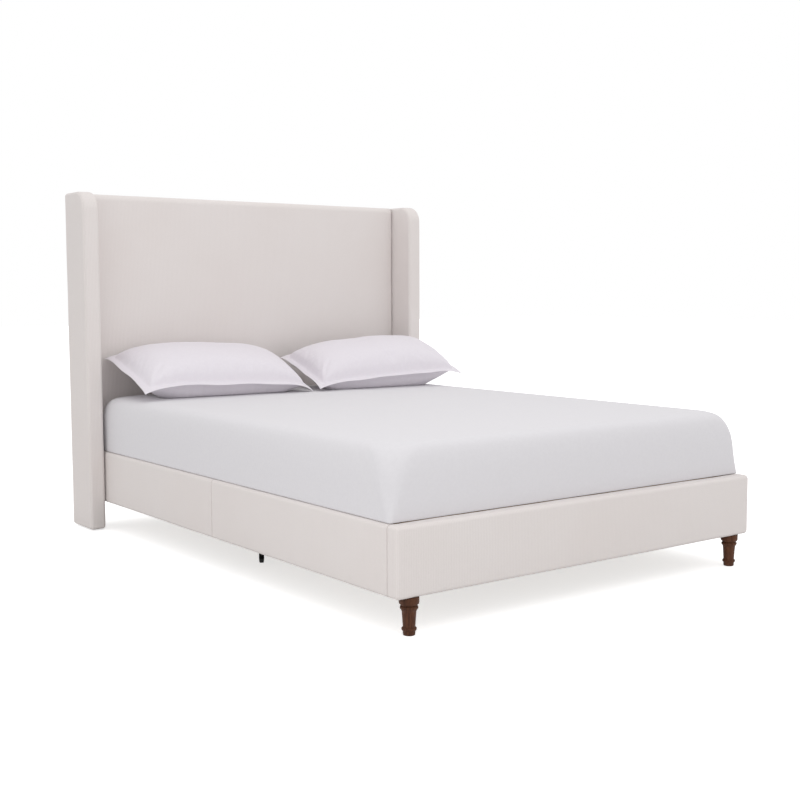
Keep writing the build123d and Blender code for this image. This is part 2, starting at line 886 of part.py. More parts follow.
left_pillow_place = Location(
    (left_pillow_middle, head_front - left_pillow_setback, sheet_top + left_pillow_lift),
    (pillow_tilt, left_pillow_roll, left_pillow_turn),
)
right_pillow_place = Location(
    (right_pillow_middle, head_front - right_pillow_setback, sheet_top + right_pillow_lift),
    (pillow_tilt, right_pillow_roll, right_pillow_turn),
)
for side, place, width, depth, rise in (
    ("left", left_pillow_place, left_sham_width, left_sham_depth, left_pillow_rise),
    ("right", right_pillow_place, right_sham_width, right_sham_depth, right_pillow_rise),
):
    pillow_plane = Plane(place)
    sham_belly = pillow_body(pillow_plane, width, depth, rise, 0)
    sham_hollow = pillow_body(pillow_plane, width, depth, rise, sham_fabric)
    filling = pillow_body(pillow_plane, width, depth, rise, sham_fabric + layer_gap)
    flange_plate = sham_flange_body(pillow_plane, width, depth)
    sham_bottom = sheet_top + seat_gap
    hollow_bottom = sham_bottom + sham_fabric
    filling_bottom = hollow_bottom + layer_gap

    with BuildPart() as pillow:
        add(filling)
        split(bisect_by=Plane((0, 0, filling_bottom)), keep=Keep.TOP)
    pillow.part.label = f"{side}_pillow"
    export_step(pillow.part, f"parts/{side}_pillow.step")

    with BuildPart() as sham_space:
        add(sham_hollow)
        split(bisect_by=Plane((0, 0, hollow_bottom)), keep=Keep.TOP)

    with BuildPart() as sham:
        add(sham_belly)
        add(flange_plate)
        split(bisect_by=Plane((0, 0, sham_bottom)), keep=Keep.TOP)
        add(sham_space.part, mode=Mode.SUBTRACT)
    sham.part.label = f"{side}_sham"
    export_step(sham.part, f"parts/{side}_sham.step")
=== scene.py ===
import math

import bmesh
import bpy
import numpy as np
from bpy.props import FloatProperty, FloatVectorProperty, IntProperty, PointerProperty
from mathutils import Matrix, Vector


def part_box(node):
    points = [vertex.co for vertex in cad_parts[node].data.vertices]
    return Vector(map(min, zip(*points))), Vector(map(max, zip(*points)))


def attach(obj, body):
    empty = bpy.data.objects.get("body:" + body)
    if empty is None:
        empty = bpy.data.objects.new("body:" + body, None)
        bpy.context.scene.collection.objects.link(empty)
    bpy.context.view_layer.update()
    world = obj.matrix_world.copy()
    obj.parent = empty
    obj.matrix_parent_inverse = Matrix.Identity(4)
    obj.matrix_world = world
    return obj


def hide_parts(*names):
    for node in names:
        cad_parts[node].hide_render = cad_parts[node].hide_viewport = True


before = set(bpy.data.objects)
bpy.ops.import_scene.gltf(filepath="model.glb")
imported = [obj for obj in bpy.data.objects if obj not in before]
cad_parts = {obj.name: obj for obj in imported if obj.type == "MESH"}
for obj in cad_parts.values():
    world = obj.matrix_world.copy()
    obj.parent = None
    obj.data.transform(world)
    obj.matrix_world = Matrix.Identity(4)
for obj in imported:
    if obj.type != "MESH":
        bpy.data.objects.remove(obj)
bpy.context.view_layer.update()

bl_info = {
    "name": "Upholstered bed",
    "version": (1, 0, 0),
    "blender": (4, 5, 0),
    "location": "View3D > Sidebar > Bed",
    "description": "Dresses the bed's frame in ribbed cloth, wood, steel and bed linen",
    "category": "Object",
}

FRAME_BODY = "bed_frame"
MATTRESS_BODY = "made_up_mattress"
EIGHTH_TURN = math.pi / 4
# The widest gap in metres that sewing closes, and the least length to divide by
WELD, TINY = 2e-5, 1e-9

# The finishes, each under the name of its slot
materials = {}


def linear(hex_colour):
    """A colour written in sRGB hex, as the linear numbers that a shader takes."""
    value = np.array([int(hex_colour[i : i + 2], 16) for i in (1, 3, 5)]) / 255
    return tuple(np.where(value <= 0.04045, value / 12.92, ((value + 0.055) / 1.055) ** 2.4).tolist())


def colour(name, description, hex_colour):
    """A colour property whose default is an sRGB hex colour."""
    return FloatVectorProperty(
        name=name, description=description, subtype="COLOR", size=3, min=0, max=1, default=linear(hex_colour)
    )


def length(name, description, metres):
    """A length property in metres."""
    return FloatProperty(name=name, description=description, unit="LENGTH", default=metres, precision=5)


def number(name, description, value):
    """A plain number property."""
    return FloatProperty(name=name, description=description, default=value)


def angle(name, description, degrees):
    """An angle property, given in degrees."""
    return FloatProperty(name=name, description=description, subtype="ANGLE", default=math.radians(degrees))


class BedUpholstery(bpy.types.PropertyGroup):
    rib_width: length("Rib width", "Spacing of the cloth's ribs", 0.006)
    rib_depth: length("Rib depth", "Depth of the groove between two ribs", 0.0005)
    rib_steps: IntProperty(name="Rib steps", description="Points across one rib", default=4, min=2, max=8)
    headboard_roll: length("Headboard roll", "Radius of the padded roll round the headboard", 0.026)
    headboard_side: length("Headboard side", "Radius of the headboard's turn beside the wings", 0.007)
    headboard_slope: length("Headboard slope", "Width of the pad's slope beside the wings", 0.032)
    headboard_fall: length("Headboard fall", "How far the pad falls back beside the wings", 0.006)
    headboard_dish: length("Headboard dish", "How far the cover's pull sinks the middle", 0.004)
    back_edge: length("Back edge", "Radius of the pulled edges at the back", 0.002)
    wing_corner: length("Wing corner", "Radius of a wing's top front corner", 0.072)
    wing_edge: length("Wing edge", "Radius of a wing's sewn edges", 0.014)
    rail_roll: length("Rail roll", "Radius of the padded edges of footboard and rails", 0.013)
    footboard_back: length("Footboard back", "Radius of the footboard's edges behind", 0.0012)
    rail_end: length("Rail end", "Radius of the cloth's turn at a rail's ends", 0.0025)
    seam_width: length("Seam width", "Half width of the dip along a seam", 0.0016)
    seam_depth: length("Seam depth", "Depth of the dip along a seam", 0.0014)
    turn_depth: length("Turn depth", "Depth of the dip where the footboard's cloth turns its corners", 0.0003)
    sway: length("Sway", "Height of the slow unevenness of padded cloth", 0.0007)


class BedLinen(bpy.types.PropertyGroup):
    sheet_thickness: length("Sheet thickness", "Thickness of the fitted sheet", 0.0012)
    mattress_corner: length("Mattress corner", "Radius of the mattress's corners at its top", 0.112)
    mattress_roll: length("Mattress roll", "Height of the mattress's soft top edge", 0.046)
    hem_reach: length("Hem reach", "How far the sheet's hem reaches under the mattress", 0.07)
    sheet_wrinkle: length("Sheet wrinkle", "Height of the sheet's folds near the corners", 0.0022)
    flange: length("Flange", "Width of the sham's flat flange", 0.03)
    flange_thickness: length("Flange thickness", "Thickness of the sham's two sewn layers", 0.0028)
    flange_wave: length("Flange wave", "Height of the flange's slow waves", 0.004)
    pillow_drop: length("Pillow drop", "Depth of a pillow's belly under its seam", 0.135)
    pillow_droop: length("Pillow droop", "How far the corners of a sham hang", 0.012)
    end_pull: length("End pull", "How far a sham's ends draw in between the corners", 0.007)
    side_pull: length("Side pull", "How far a sham's long sides draw in between the corners", 0.009)
    pillow_air: number("Pillow air", "Pressure that swells a pillow's cloth", 3.0)
    pillow_slack: number("Pillow slack", "Share of cloth more than the form needs", 0.01)
    swell_limit: length("Swell limit", "How far a point of the cloth may swell", 0.012)


class BedColours(bpy.types.PropertyGroup):
    ribbed_cloth: colour("Ribbed cloth", "Off-white yarn of the upholstery", "#E3DDDB")
    # Painted shade for the grooves between the ribs, and also the colour of the yarn's dye flecks
    ribbed_groove_shade_and_fleck: colour("Cloth groove", "The cloth between two ribs", "#D2CAC6")
    ribbed_patch: colour("Cloth patch", "Slightly darker patches of the cloth's dye", "#DAD1CD")
    sheet_cotton: colour("Sheet cotton", "White of the fitted sheet", "#DCDADD")
    sheet_slub: colour("Sheet slub", "Thicker threads of the fitted sheet", "#D1CED2")
    sham_cotton: colour("Sham cotton", "White of the pillow shams", "#E2DDE3")
    sham_slub: colour("Sham slub", "Thicker threads of the shams", "#D8D2DA")
    walnut: colour("Walnut stain", "Stain of the turned legs", "#66402B")
    walnut_grain: colour("Walnut grain", "Dark grain of the turned legs", "#331C12")
    pine_early: colour("Pine", "Pale early wood of the slats and battens", "#E2C79C")
    pine_late: colour("Pine grain", "Darker late wood of the slats and battens", "#C8A06C")
    ply_face: colour("Plywood", "Face of the headboard's thin panel", "#D2AE7E")
    ply_figure: colour("Plywood figure", "Figure of the headboard's thin panel", "#A97F51")


class BedStage(bpy.types.PropertyGroup):
    camera_x: length("Camera X", "The camera's place across the bed", -2.7254)
    camera_y: length("Camera Y", "The camera's place along the bed", -3.7059)
    camera_z: length("Camera Z", "The camera's height", 0.9691)
    camera_yaw: angle("Yaw", "Turn from +Y towards +X", 36.84)
    camera_pitch: angle("Pitch", "Look downwards", 5.165)
    camera_roll: angle("Roll", "Roll of the camera", -0.16)
    lens: number("Lens", "Focal length in mm on a 36 mm sensor", 54.0)
    sky_level: number("Sky level", "Strength of the even light from all round", 0.9)
    top_level: number("Top lamp", "Power of the large soft lamp overhead in watts", 19.0)
    front_level: number("Front lamp", "Power of the lamp over the camera in watts", 8.6)
    left_level: number("Left lamp", "Power of the low lamp on the left in watts", 3.4)
    right_level: number("Right lamp", "Power of the low lamp on the right in watts", 3.2)
    floor_glow: number("Floor glow", "How far the seen floor is lifted to white", 0.64)


# The roundness of a rib's crest, and the number of sines in the slow unevenness with their shortest and
# longest wave in metres
RIB_POWER = 0.7
SWAY_SINES, SWAY_WAVES = 5, (0.14, 0.42)


def quads(rows, columns):
    """Corner numbers of the quads of a grid with that many rows and columns of points."""
    corner = np.arange((rows - 1) * columns).reshape(rows - 1, columns)[:, :-1].ravel()
    return np.stack([corner, corner + 1, corner + columns + 1, corner + columns], axis=1)


def groove(ribs):
    """Depth share of a ribbed cloth: 1 in the groove at each whole rib, 0 on the rib's round crest."""
    return 1 - np.abs(np.sin(np.pi * ribs)) ** RIB_POWER


def dip(distance, width):
    """Depth share of a seam's dip: 1 on the seam, falling off as a bell curve of that width."""
    return np.exp(-((distance / width) ** 2))


def sway(points, size, seed):
    """Slow unevenness of padded cloth: a mean of sines of the place, each with its own direction and wave."""
    draw = np.random.default_rng(seed)
    total = np.zeros(points.shape[:-1])
    for _ in range(SWAY_SINES):
        direction = draw.normal(size=3)
        direction /= np.linalg.norm(direction)
        wave, phase = draw.uniform(*SWAY_WAVES), draw.uniform(0, math.tau)
        total += np.sin(points @ direction * math.tau / wave + phase)
    return total / SWAY_SINES * size


def cloth_height(points, ribs, seam, seam_depth, look, seed):
    """Height of the ribbed cloth over its form: slow unevenness less the seam's dip and the ribs' grooves."""
    grooves = look.rib_depth * groove(ribs) * (1 - seam)
    return sway(points, look.sway, seed) - seam_depth * seam - grooves


def panel(points, push, cloth, flip=False):
    """One grid of a piece: its places, each point's push after sewing, and its cloth coordinates."""
    rows, columns = points.shape[:2]
    faces = quads(rows, columns)
    if flip:
        faces = faces[:, ::-1]
    return points.reshape(-1, 3), push.reshape(-1, 3), cloth.reshape(-1, 2), faces


def sew(name, panels):
    """Makes one mesh of panels: meeting edges are welded, faces point outwards and every point is pushed."""
    starts = np.cumsum([0] + [len(one[0]) for one in panels])
    points, push, cloth = (np.concatenate([one[part] for one in panels]) for part in range(3))
    faces = np.concatenate([one[3] + start for one, start in zip(panels, starts)])
    mesh = bpy.data.meshes.new(name)
    mesh.vertices.add(len(points))
    mesh.loops.add(faces.size)
    mesh.polygons.add(len(faces))
    mesh.vertices.foreach_set("co", points.ravel())
    mesh.loops.foreach_set("vertex_index", faces.ravel().astype(np.int32))
    mesh.polygons.foreach_set("loop_start", np.arange(0, faces.size, faces.shape[1], dtype=np.int32))
    mesh.update(calc_edges=True)
    mesh.uv_layers.new(name="cloth").uv.foreach_set("vector", cloth[faces.ravel()].ravel())
    mesh.attributes.new("push", "FLOAT_VECTOR", "POINT").data.foreach_set("vector", push.ravel())
    work = bmesh.new()
    work.from_mesh(mesh)
    bmesh.ops.remove_doubles(work, verts=work.verts, dist=WELD)
    bmesh.ops.recalc_face_normals(work, faces=work.faces)
    work.to_mesh(mesh)
    work.free()
    count = len(mesh.vertices)
    place, shift = np.empty(count * 3, np.float32), np.empty(count * 3, np.float32)
    mesh.vertices.foreach_get("co", place)
    mesh.attributes["push"].data.foreach_get("vector", shift)
    mesh.vertices.foreach_set("co", place + shift)
    mesh.attributes.remove(mesh.attributes["push"])
    mesh.shade_smooth()
    mesh.update()
    piece = bpy.data.objects.new(name, mesh)
    bpy.context.scene.collection.objects.link(piece)
    return piece


def finish_piece(piece, body, slot, replaced):
    """Gives a piece its body, its slot with the finish of that name, and the nodes that it stands for."""
    piece.data.materials.append(materials[slot])
    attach(piece, body)
    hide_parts(*replaced)


def upholster(name, panels, replaced):
    """Sews a padded piece of the frame in ribbed cloth."""
    finish_piece(sew(name, panels), FRAME_BODY, "ribbed_fabric", replaced)


def even_arcs(flat, low_roll, high_roll, step, per_step):
    """Lengths of cloth at even steps, a whole number of ribs from one rolled edge's middle to the next."""
    total = EIGHTH_TURN * (low_roll + high_roll) + flat
    ribs = max(1, round(total / step))
    return np.linspace(0, total, ribs * per_step + 1), total / ribs


def coarse_arcs(flat, low_roll, high_roll, turns, steps):
    """Lengths of cloth with a few even turns over each rolled edge and a few steps on the flat."""
    low, high = EIGHTH_TURN * low_roll, EIGHTH_TURN * high_roll
    return np.concatenate(
        [
            np.linspace(0, low, turns + 1)[:-1],
            np.linspace(low, low + flat, steps + 1),
            np.linspace(low + flat, low + flat + high, turns + 1)[1:],
        ]
    )


# Powers of the headboard's slope and of its dish across and upwards, and the coarse steps of a padded block:
# how many over a rolled edge, and their length on the flat in metres
SLOPE_POWER, DISH_ACROSS, DISH_UP = 1.3, 14, 10
COARSE_TURNS, COARSE_STEP = 6, 0.06


def headboard_relief(points, low, high, look):
    """Height of the headboard's pad over its flat front.

    Beside the wings it falls back by a power of the distance from where the slope starts. The pull of the
    cover sinks the middle by a product of one less a high power of each place.
    """
    middle = (2 * points - low - high) / (high - low)
    from_side = np.minimum(points[..., 0] - low[0], high[0] - points[..., 0])
    slope = np.clip(1 - from_side / look.headboard_slope, 0, 1) ** SLOPE_POWER
    sunk = (1 - middle[..., 0] ** DISH_ACROSS) * (1 - middle[..., 2] ** DISH_UP)
    return -look.headboard_fall * slope - look.headboard_dish * sunk


def rolled_box(low, high, rolls, fine, sewn_axis, look, seam_depth, seed, relief=None):
    """The panels of a padded block.

    A grid on each side of the square box is drawn in to a core box and pushed out again along its own
    direction by the roll of each side, so that edges are quarter ellipses and corners are eighths of an
    ellipsoid. Ribs run across the fine axes. The relief gives the height of the front over the block.
    """
    rolls = np.array(rolls)
    core_low, core_high = low + rolls[:, 0], high - rolls[:, 1]
    arcs, widths, places = [], {}, []
    for axis, (low_roll, high_roll) in enumerate(rolls):
        flat = core_high[axis] - core_low[axis]
        if axis in fine:
            arc, widths[axis] = even_arcs(flat, low_roll, high_roll, look.rib_width, look.rib_steps)
        else:
            arc = coarse_arcs(flat, low_roll, high_roll, COARSE_TURNS, max(2, round(flat / COARSE_STEP)))
        past_turn = arc - EIGHTH_TURN * low_roll
        low_turn = EIGHTH_TURN - np.minimum(arc / low_roll, EIGHTH_TURN)
        high_turn = np.clip((past_turn - flat) / high_roll, 0, EIGHTH_TURN)
        on_flat = core_low[axis] + np.clip(past_turn, 0, flat)
        places.append(on_flat - low_roll * np.tan(low_turn) + high_roll * np.tan(high_turn))
        arcs.append(arc)
    panels = []
    for normal in (1, 0, 2):
        across, along = [axis for axis in range(3) if axis != normal]
        rib_axis = next((axis for axis in fine if axis != normal), None)
        other = along if rib_axis == across else across
        grid = np.meshgrid(places[across], places[along], indexing="ij")
        lengths = dict(zip((across, along), np.meshgrid(arcs[across], arcs[along], indexing="ij")))
        to_seam = np.ones(grid[0].shape)
        for axis in (across, along):
            if sewn_axis in (axis, normal):
                to_seam = np.minimum(to_seam, np.minimum(lengths[axis], arcs[axis][-1] - lengths[axis]))
        seam = dip(to_seam, look.seam_width)
        ribs = np.full(seam.shape, 0.5) if rib_axis is None else lengths[rib_axis] / widths[rib_axis]
        cloth = np.stack([ribs, lengths[other] / look.rib_width], axis=-1)
        for end in (0, 1):
            square = np.empty(seam.shape + (3,))
            square[..., across], square[..., along] = grid
            square[..., normal] = (low, high)[end][normal]
            core = np.clip(square, core_low, core_high)
            roll = np.where(square < core, rolls[:, 0], rolls[:, 1])
            away = (square - core) / roll
            away /= np.linalg.norm(away, axis=-1, keepdims=True)
            outward = away / roll
            outward /= np.linalg.norm(outward, axis=-1, keepdims=True)
            points = core + away * roll
            height = cloth_height(points, ribs, seam, seam_depth, look, seed)
            if relief and normal == 1 and end == 0:
                height += relief(square, low, high, look)
            panels.append(panel(points, outward * height[..., None], cloth))
    return panels


# A wing's extra columns as shares of the first step of cloth, the heights in metres of its rows beside the
# band, and the number of rows between them
FIRST_COLUMNS = (0.04, 0.14, 0.3, 0.55)
NEAR_ROWS = (0, 0.0011, 0.0023, 0.0036, 0.005, 0.0066)
WING_ROWS = 24


def wing_panels(inner, outer, low, high, corner, edge, look, seed):
    """The panels of a wing: two side faces and the band that is sewn round them.

    The outline is a rectangle with a large arc at its top front and small arcs elsewhere. A side face is a
    grid of upright columns cut off by that outline, set back near it by a quarter circle of the edge's
    radius. The band carries a profile, flat with an eighth circle at each side, along the outline.
    """
    (y0, z0), (y1, z1) = low, high
    inset = edge * (1 - math.cos(EIGHTH_TURN))
    flat = y1 - y0 - 2 * edge
    arc, width = even_arcs(flat, edge, edge, look.rib_width, look.rib_steps)
    arc = np.concatenate([arc[:1], arc[1] * np.array(FIRST_COLUMNS), arc[1:]])
    turn_low = EIGHTH_TURN + np.minimum(arc / edge, EIGHTH_TURN)
    turn_high = EIGHTH_TURN + np.minimum((arc[-1] - arc) / edge, EIGHTH_TURN)
    on_flat = y0 + edge + np.clip(arc - EIGHTH_TURN * edge, 0, flat)
    columns = on_flat - edge * np.cos(turn_low) + edge * np.cos(turn_high)
    columns[0], columns[-1] = y0 + inset, y1 - inset

    def arc_rise(radius, away):
        """Height over its centre of an arc that is drawn in by the inset, at a distance from its middle."""
        return np.sqrt((radius - inset) ** 2 - np.clip(away, 0, radius - inset) ** 2)

    front_top = z1 - corner + arc_rise(corner, y0 + corner - columns)
    back_top = z1 - edge + arc_rise(edge, columns - y1 + edge)
    top = np.where(columns > y0 + corner, back_top, front_top)
    bottom = z0 + edge - arc_rise(edge, np.maximum(y0 + edge - columns, columns - y1 + edge))
    near, share = np.array(NEAR_ROWS)[:, None], np.linspace(0, 1, WING_ROWS)[1:-1, None]
    between = bottom + near[-1] + share * (top - bottom - 2 * near[-1])
    z = np.concatenate([bottom + near, between, top - near[::-1]])
    y = np.broadcast_to(columns, z.shape)
    place = np.stack([y, z], axis=-1)
    centre = np.clip(place, (y0 + edge, z0 + edge), (y1 - edge, z1 - edge))
    big = (y < y0 + corner) & (z > z1 - corner)
    centre[big] = (y0 + corner, z1 - corner)
    distance = np.linalg.norm(place - centre, axis=-1)
    direction = (place - centre) / np.maximum(distance, TINY)[..., None]
    depth_in = np.maximum(np.where(big, corner, edge) - distance, 0)
    steep = np.clip((edge - depth_in) / edge, 0, 1)
    level = np.sqrt(1 - steep**2)
    ribs = np.broadcast_to(arc / width, z.shape)
    edge_arc = edge * (np.arccos(steep) - EIGHTH_TURN) + np.maximum(depth_in - edge, 0)
    seam = dip(np.maximum(edge_arc, 0), look.seam_width)
    cloth = np.stack([ribs, z / look.rib_width], axis=-1)
    side = np.sign(outer - inner)
    panels = []
    for plane, way in ((inner, -side), (outer, side)):
        points = np.stack([plane - way * edge * (1 - level), y, z], axis=-1)
        outward = np.concatenate([way * level[..., None], direction * steep[..., None]], axis=-1)
        height = cloth_height(points, ribs, seam, look.seam_depth, look, seed)
        panels.append(panel(points, outward * height[..., None], cloth))
    loop = [(slice(0, -1), 0), (-1, slice(0, -1)), (slice(-1, 0, -1), -1), (0, slice(-1, None, -1))]
    line, out = (np.concatenate([grid[at].reshape(-1, 2) for at in loop]) for grid in (place, direction))
    travel = np.concatenate([[0], np.cumsum(np.linalg.norm(np.diff(line, axis=0), axis=1))])
    band_flat = abs(outer - inner) - 2 * edge
    band_arc, band_width = even_arcs(band_flat, edge, edge, look.rib_width, look.rib_steps)
    past_turn = band_arc - EIGHTH_TURN * edge
    band_low = EIGHTH_TURN - np.minimum(band_arc / edge, EIGHTH_TURN)
    band_high = np.clip((past_turn - band_flat) / edge, 0, EIGHTH_TURN)
    slope = np.sin(band_high) - np.sin(band_low)
    lift = np.cos(band_low) * np.cos(band_high)
    stand = inset - edge * (1 - lift)
    shape = (len(line), len(band_arc))
    points, outward = np.empty(shape + (3,)), np.empty(shape + (3,))
    points[..., 0] = inner + side * (np.clip(past_turn, 0, band_flat) + edge + edge * slope)
    points[..., 1:] = line[:, None, :] + out[:, None, :] * stand[None, :, None]
    outward[..., 0] = side * slope
    outward[..., 1:] = out[:, None, :] * lift[None, :, None]
    seam = dip(np.minimum(band_arc, band_arc[-1] - band_arc), look.seam_width)
    ribs = np.broadcast_to(band_arc / band_width, shape)
    height = cloth_height(points, ribs, seam, look.seam_depth, look, seed)
    cloth = np.stack([ribs, np.broadcast_to(travel[:, None] / look.rib_width, shape)], axis=-1)
    around = [np.concatenate([part, part[:1]]) for part in (points, outward * height[..., None], cloth)]
    panels.append(panel(*around))
    return panels


def ring_side(half_width, half_length, radius, turns, straight):
    """A rounded rectangle's four sides, each from the middle of one corner to the middle of the next.

    Each side is an eighth circle, a straight run in even steps and another eighth circle. The places come
    anticlockwise from the front right corner's middle.
    """
    angles = np.linspace(-EIGHTH_TURN, 0, turns + 1)[:-1]
    bend, rise = radius * np.cos(angles), radius * np.sin(angles)
    sides = []
    for quarter in range(4):
        reach, run = (half_length, half_width) if quarter % 2 else (half_width, half_length)
        line = np.linspace(radius - run, run - radius, straight[(quarter + 1) % 2] + 1)
        across = reach - radius + np.concatenate([bend, np.full(len(line), radius), bend[::-1]])
        up = np.concatenate([rise - (run - radius), line, run - radius - rise[::-1]])
        cos, sin = math.cos(quarter * math.pi / 2), math.sin(quarter * math.pi / 2)
        sides.append(np.stack([across * cos - up * sin, across * sin + up * cos], -1))
    return sides


def coons(sides):
    """A flat grid filled in between four edges: the mean of both ways across less the corners' blend."""
    right, back, left, front = sides
    left, back = left[::-1], back[::-1]
    rows, columns = len(right), len(front)
    v = np.linspace(0, 1, rows)[:, None, None]
    u = np.linspace(0, 1, columns)[None, :, None]
    ruled_u = (1 - u) * left[:, None, :] + u * right[:, None, :]
    ruled_v = (1 - v) * front[None] + v * back[None]
    corners = (
        (1 - u) * (1 - v) * front[0] + u * (1 - v) * front[-1] + (1 - u) * v * back[0] + u * v * back[-1]
    )
    return ruled_u + ruled_v - corners


def add(tree, kind, links=None, out=0, **settings):
    """Adds a node with its settings and links, and gives one of its outputs."""
    node = tree.nodes.new(kind)
    for key, value in settings.items():
        setattr(node, key, value)
    for key, value in (links or {}).items():
        if isinstance(value, bpy.types.NodeSocket):
            tree.links.new(value, node.inputs[key])
        else:
            node.inputs[key].default_value = value
    return node.outputs[out] if node.outputs else None


def empty_tree(owner):
    """The cleared node tree of a material or a world."""
    owner.use_nodes = True
    owner.node_tree.nodes.clear()
    return owner.node_tree


def rgba(value):
    """A colour as the four numbers of a colour socket."""
    return (*value, 1.0)


def new_material(name):
    """A new material, its empty tree and the place on the object."""
    material = bpy.data.materials.new(name)
    tree = empty_tree(material)
    return material, tree, add(tree, "ShaderNodeTexCoord", out="Object")


def stretch(tree, place, scale):
    """A place multiplied by a factor along each axis."""
    return add(tree, "ShaderNodeMapping", {"Vector": place, "Scale": scale})


def noise(tree, place, scale, detail, roughness=0.5, distortion=0.0):
    """Cloudy noise."""
    values = {"Scale": scale, "Detail": detail, "Roughness": roughness, "Distortion": distortion}
    return add(tree, "ShaderNodeTexNoise", {"Vector": place, **values})


def spread(tree, value, low, high, most=1.0, least=0.0):
    """The part of a value from low to high, drawn out from least to most."""
    values = {"From Min": low, "From Max": high, "To Min": least, "To Max": most}
    return add(tree, "ShaderNodeMapRange", {"Value": value, **values})


def blend(tree, share, first, second):
    """A colour between two, by the share of the second."""
    return add(tree, "ShaderNodeMix", {0: share, 6: first, 7: second}, out=2, data_type="RGBA")


def maths(tree, operation, *values):
    """One step of arithmetic."""
    return add(tree, "ShaderNodeMath", dict(enumerate(values)), operation=operation)


def surface(tree, tone, roughness, relief, depth, strength, more=None):
    """Ends a tree: a surface of that tone and roughness over a bump, with more of its sockets by name."""
    bump = add(tree, "ShaderNodeBump", {"Height": relief, "Distance": depth, "Strength": strength})
    values = {"Base Color": tone, "Roughness": roughness, "Normal": bump, **(more or {})}
    shader = add(tree, "ShaderNodeBsdfPrincipled", values)
    add(tree, "ShaderNodeOutputMaterial", {"Surface": shader})


def ribbed_cloth(colours):
    """Woven rib upholstery cloth of linen and polyester yarn.

    The ribs are in the mesh. The material paints shade into the grooves between them, mottles the yarn and
    gives the weft's fine steps along each rib, drawn coarser than in real cloth, so that they show.
    """
    material, tree, place = new_material("ribbed_upholstery_cloth")
    # The darker colour is painted shade in the grooves between the ribs, and the colour of the dye flecks
    shade = rgba(colours.ribbed_groove_shade_and_fleck)
    cloth = add(tree, "ShaderNodeUVMap", uv_map="cloth")
    ribs = add(tree, "ShaderNodeSeparateXYZ", {"Vector": cloth}, out="X")
    off_crest = maths(tree, "ABSOLUTE", maths(tree, "SUBTRACT", maths(tree, "FRACT", ribs), 0.5))
    # Painted shade: the cloth darkens towards the darker colour in the groove between two ribs
    painted_groove_shade = spread(tree, off_crest, low=0.28, high=0.5, most=0.45)
    tone = blend(tree, painted_groove_shade, rgba(colours.ribbed_cloth), shade)
    # Flecks of unevenly dyed linen, longer along the yarn
    yarn = stretch(tree, place, (420.0, 420.0, 160.0))
    flecks = noise(tree, yarn, scale=1.0, detail=3.0, roughness=0.6)
    tone = blend(tree, spread(tree, flecks, low=0.35, high=0.75, most=0.16), tone, shade)
    # Broad, barely seen patches, where hands and light have worked on the cloth
    patches = noise(tree, place, scale=3.0, detail=2.0)
    patch = spread(tree, patches, low=0.3, high=0.7, most=0.25)
    tone = blend(tree, patch, tone, rgba(colours.ribbed_patch))
    weft = stretch(tree, cloth, (2.0, 2.0, 1.0))
    weave = noise(tree, weft, scale=1.0, detail=3.0, roughness=0.6)
    more = {"Specular IOR Level": 0.25, "Sheen Weight": 0.12, "Sheen Roughness": 0.45}
    surface(tree, tone, 0.92, weave, depth=0.0007, strength=0.6, more=more)
    return material


def cotton(name, base, slub_colour, crease_scale, crease_depth, roughness, sheen):
    """Woven cotton bed linen: fine crossed threads, thicker slubs, soft creases and a faint sheen."""
    material, tree, place = new_material(name)
    slubs = noise(tree, place, scale=90.0, detail=3.0, roughness=0.55)
    share = spread(tree, slubs, low=0.3, high=0.7, most=0.22)
    tone = blend(tree, share, rgba(base), rgba(slub_colour))
    creases = noise(tree, place, crease_scale, detail=4.0, roughness=0.6, distortion=0.4)
    threads = noise(tree, place, scale=900.0, detail=1.0)
    relief = maths(tree, "MULTIPLY_ADD", threads, 0.03, creases)
    more = {"Specular IOR Level": 0.3, "Sheen Weight": sheen, "Sheen Roughness": 0.4}
    surface(tree, tone, roughness, relief, crease_depth, strength=0.5, more=more)
    return material


def timber(name, early, late, grain, ring, roughness, specular=0.5, coat=0.0):
    """Sawn or turned timber: growth rings drawn out along the grain, with fine pores between them.

    Grain gives the scale of each axis, small along the grain. Ring is the rings' spacing in metres.
    """
    material, tree, place = new_material(name)
    early, late = rgba(early), rgba(late)
    drawn = stretch(tree, place, grain)
    warp = noise(tree, drawn, scale=9.0, detail=2.0)
    rings = noise(tree, drawn, scale=1.0 / ring, detail=4.0, roughness=0.65, distortion=1.2)
    pores = noise(tree, drawn, scale=900.0, detail=2.0, roughness=0.7)
    figure = maths(tree, "MULTIPLY_ADD", warp, 0.25, rings)
    tone = blend(tree, spread(tree, figure, low=0.42, high=0.82), early, late)
    tone = blend(tree, spread(tree, pores, low=0.55, high=0.8, most=0.45), tone, late)
    gloss = spread(tree, rings, low=0.3, high=0.7, most=roughness + 0.08, least=roughness - 0.06)
    relief = maths(tree, "MULTIPLY_ADD", pores, 0.4, rings)
    more = {"IOR": 1.5, "Specular IOR Level": specular, "Coat Weight": coat, "Coat Roughness": 0.28}
    surface(tree, tone, gloss, relief, depth=0.0006, strength=0.35, more=more)
    return material


def plywood(name, face, figure_colour):
    """Rotary-cut plywood: broad wandering figure on its faces and thin plies through its thickness."""
    material, tree, place = new_material(name)
    drawn = stretch(tree, place, (2.0, 14.0, 30.0))
    figure = noise(tree, drawn, scale=1.0, detail=4.0, roughness=0.6, distortion=2.5)
    through = stretch(tree, place, (0.0, 210.0, 0.0))
    plies = add(tree, "ShaderNodeTexWave", {"Vector": through, "Scale": 1.0}, out="Fac", bands_direction="Y")
    dark = rgba(figure_colour)
    tone = blend(tree, spread(tree, figure, low=0.35, high=0.7), rgba(face), dark)
    tone = blend(tree, maths(tree, "MULTIPLY", plies, 0.15), tone, dark)
    surface(tree, tone, 0.7, figure, depth=0.0005, strength=0.3)
    return material


def tinted(tone, factor, lift=0.0):
    """A colour made lighter or darker by a factor, and lifted a little."""
    return rgba([min(1.0, factor * value + lift) for value in tone])


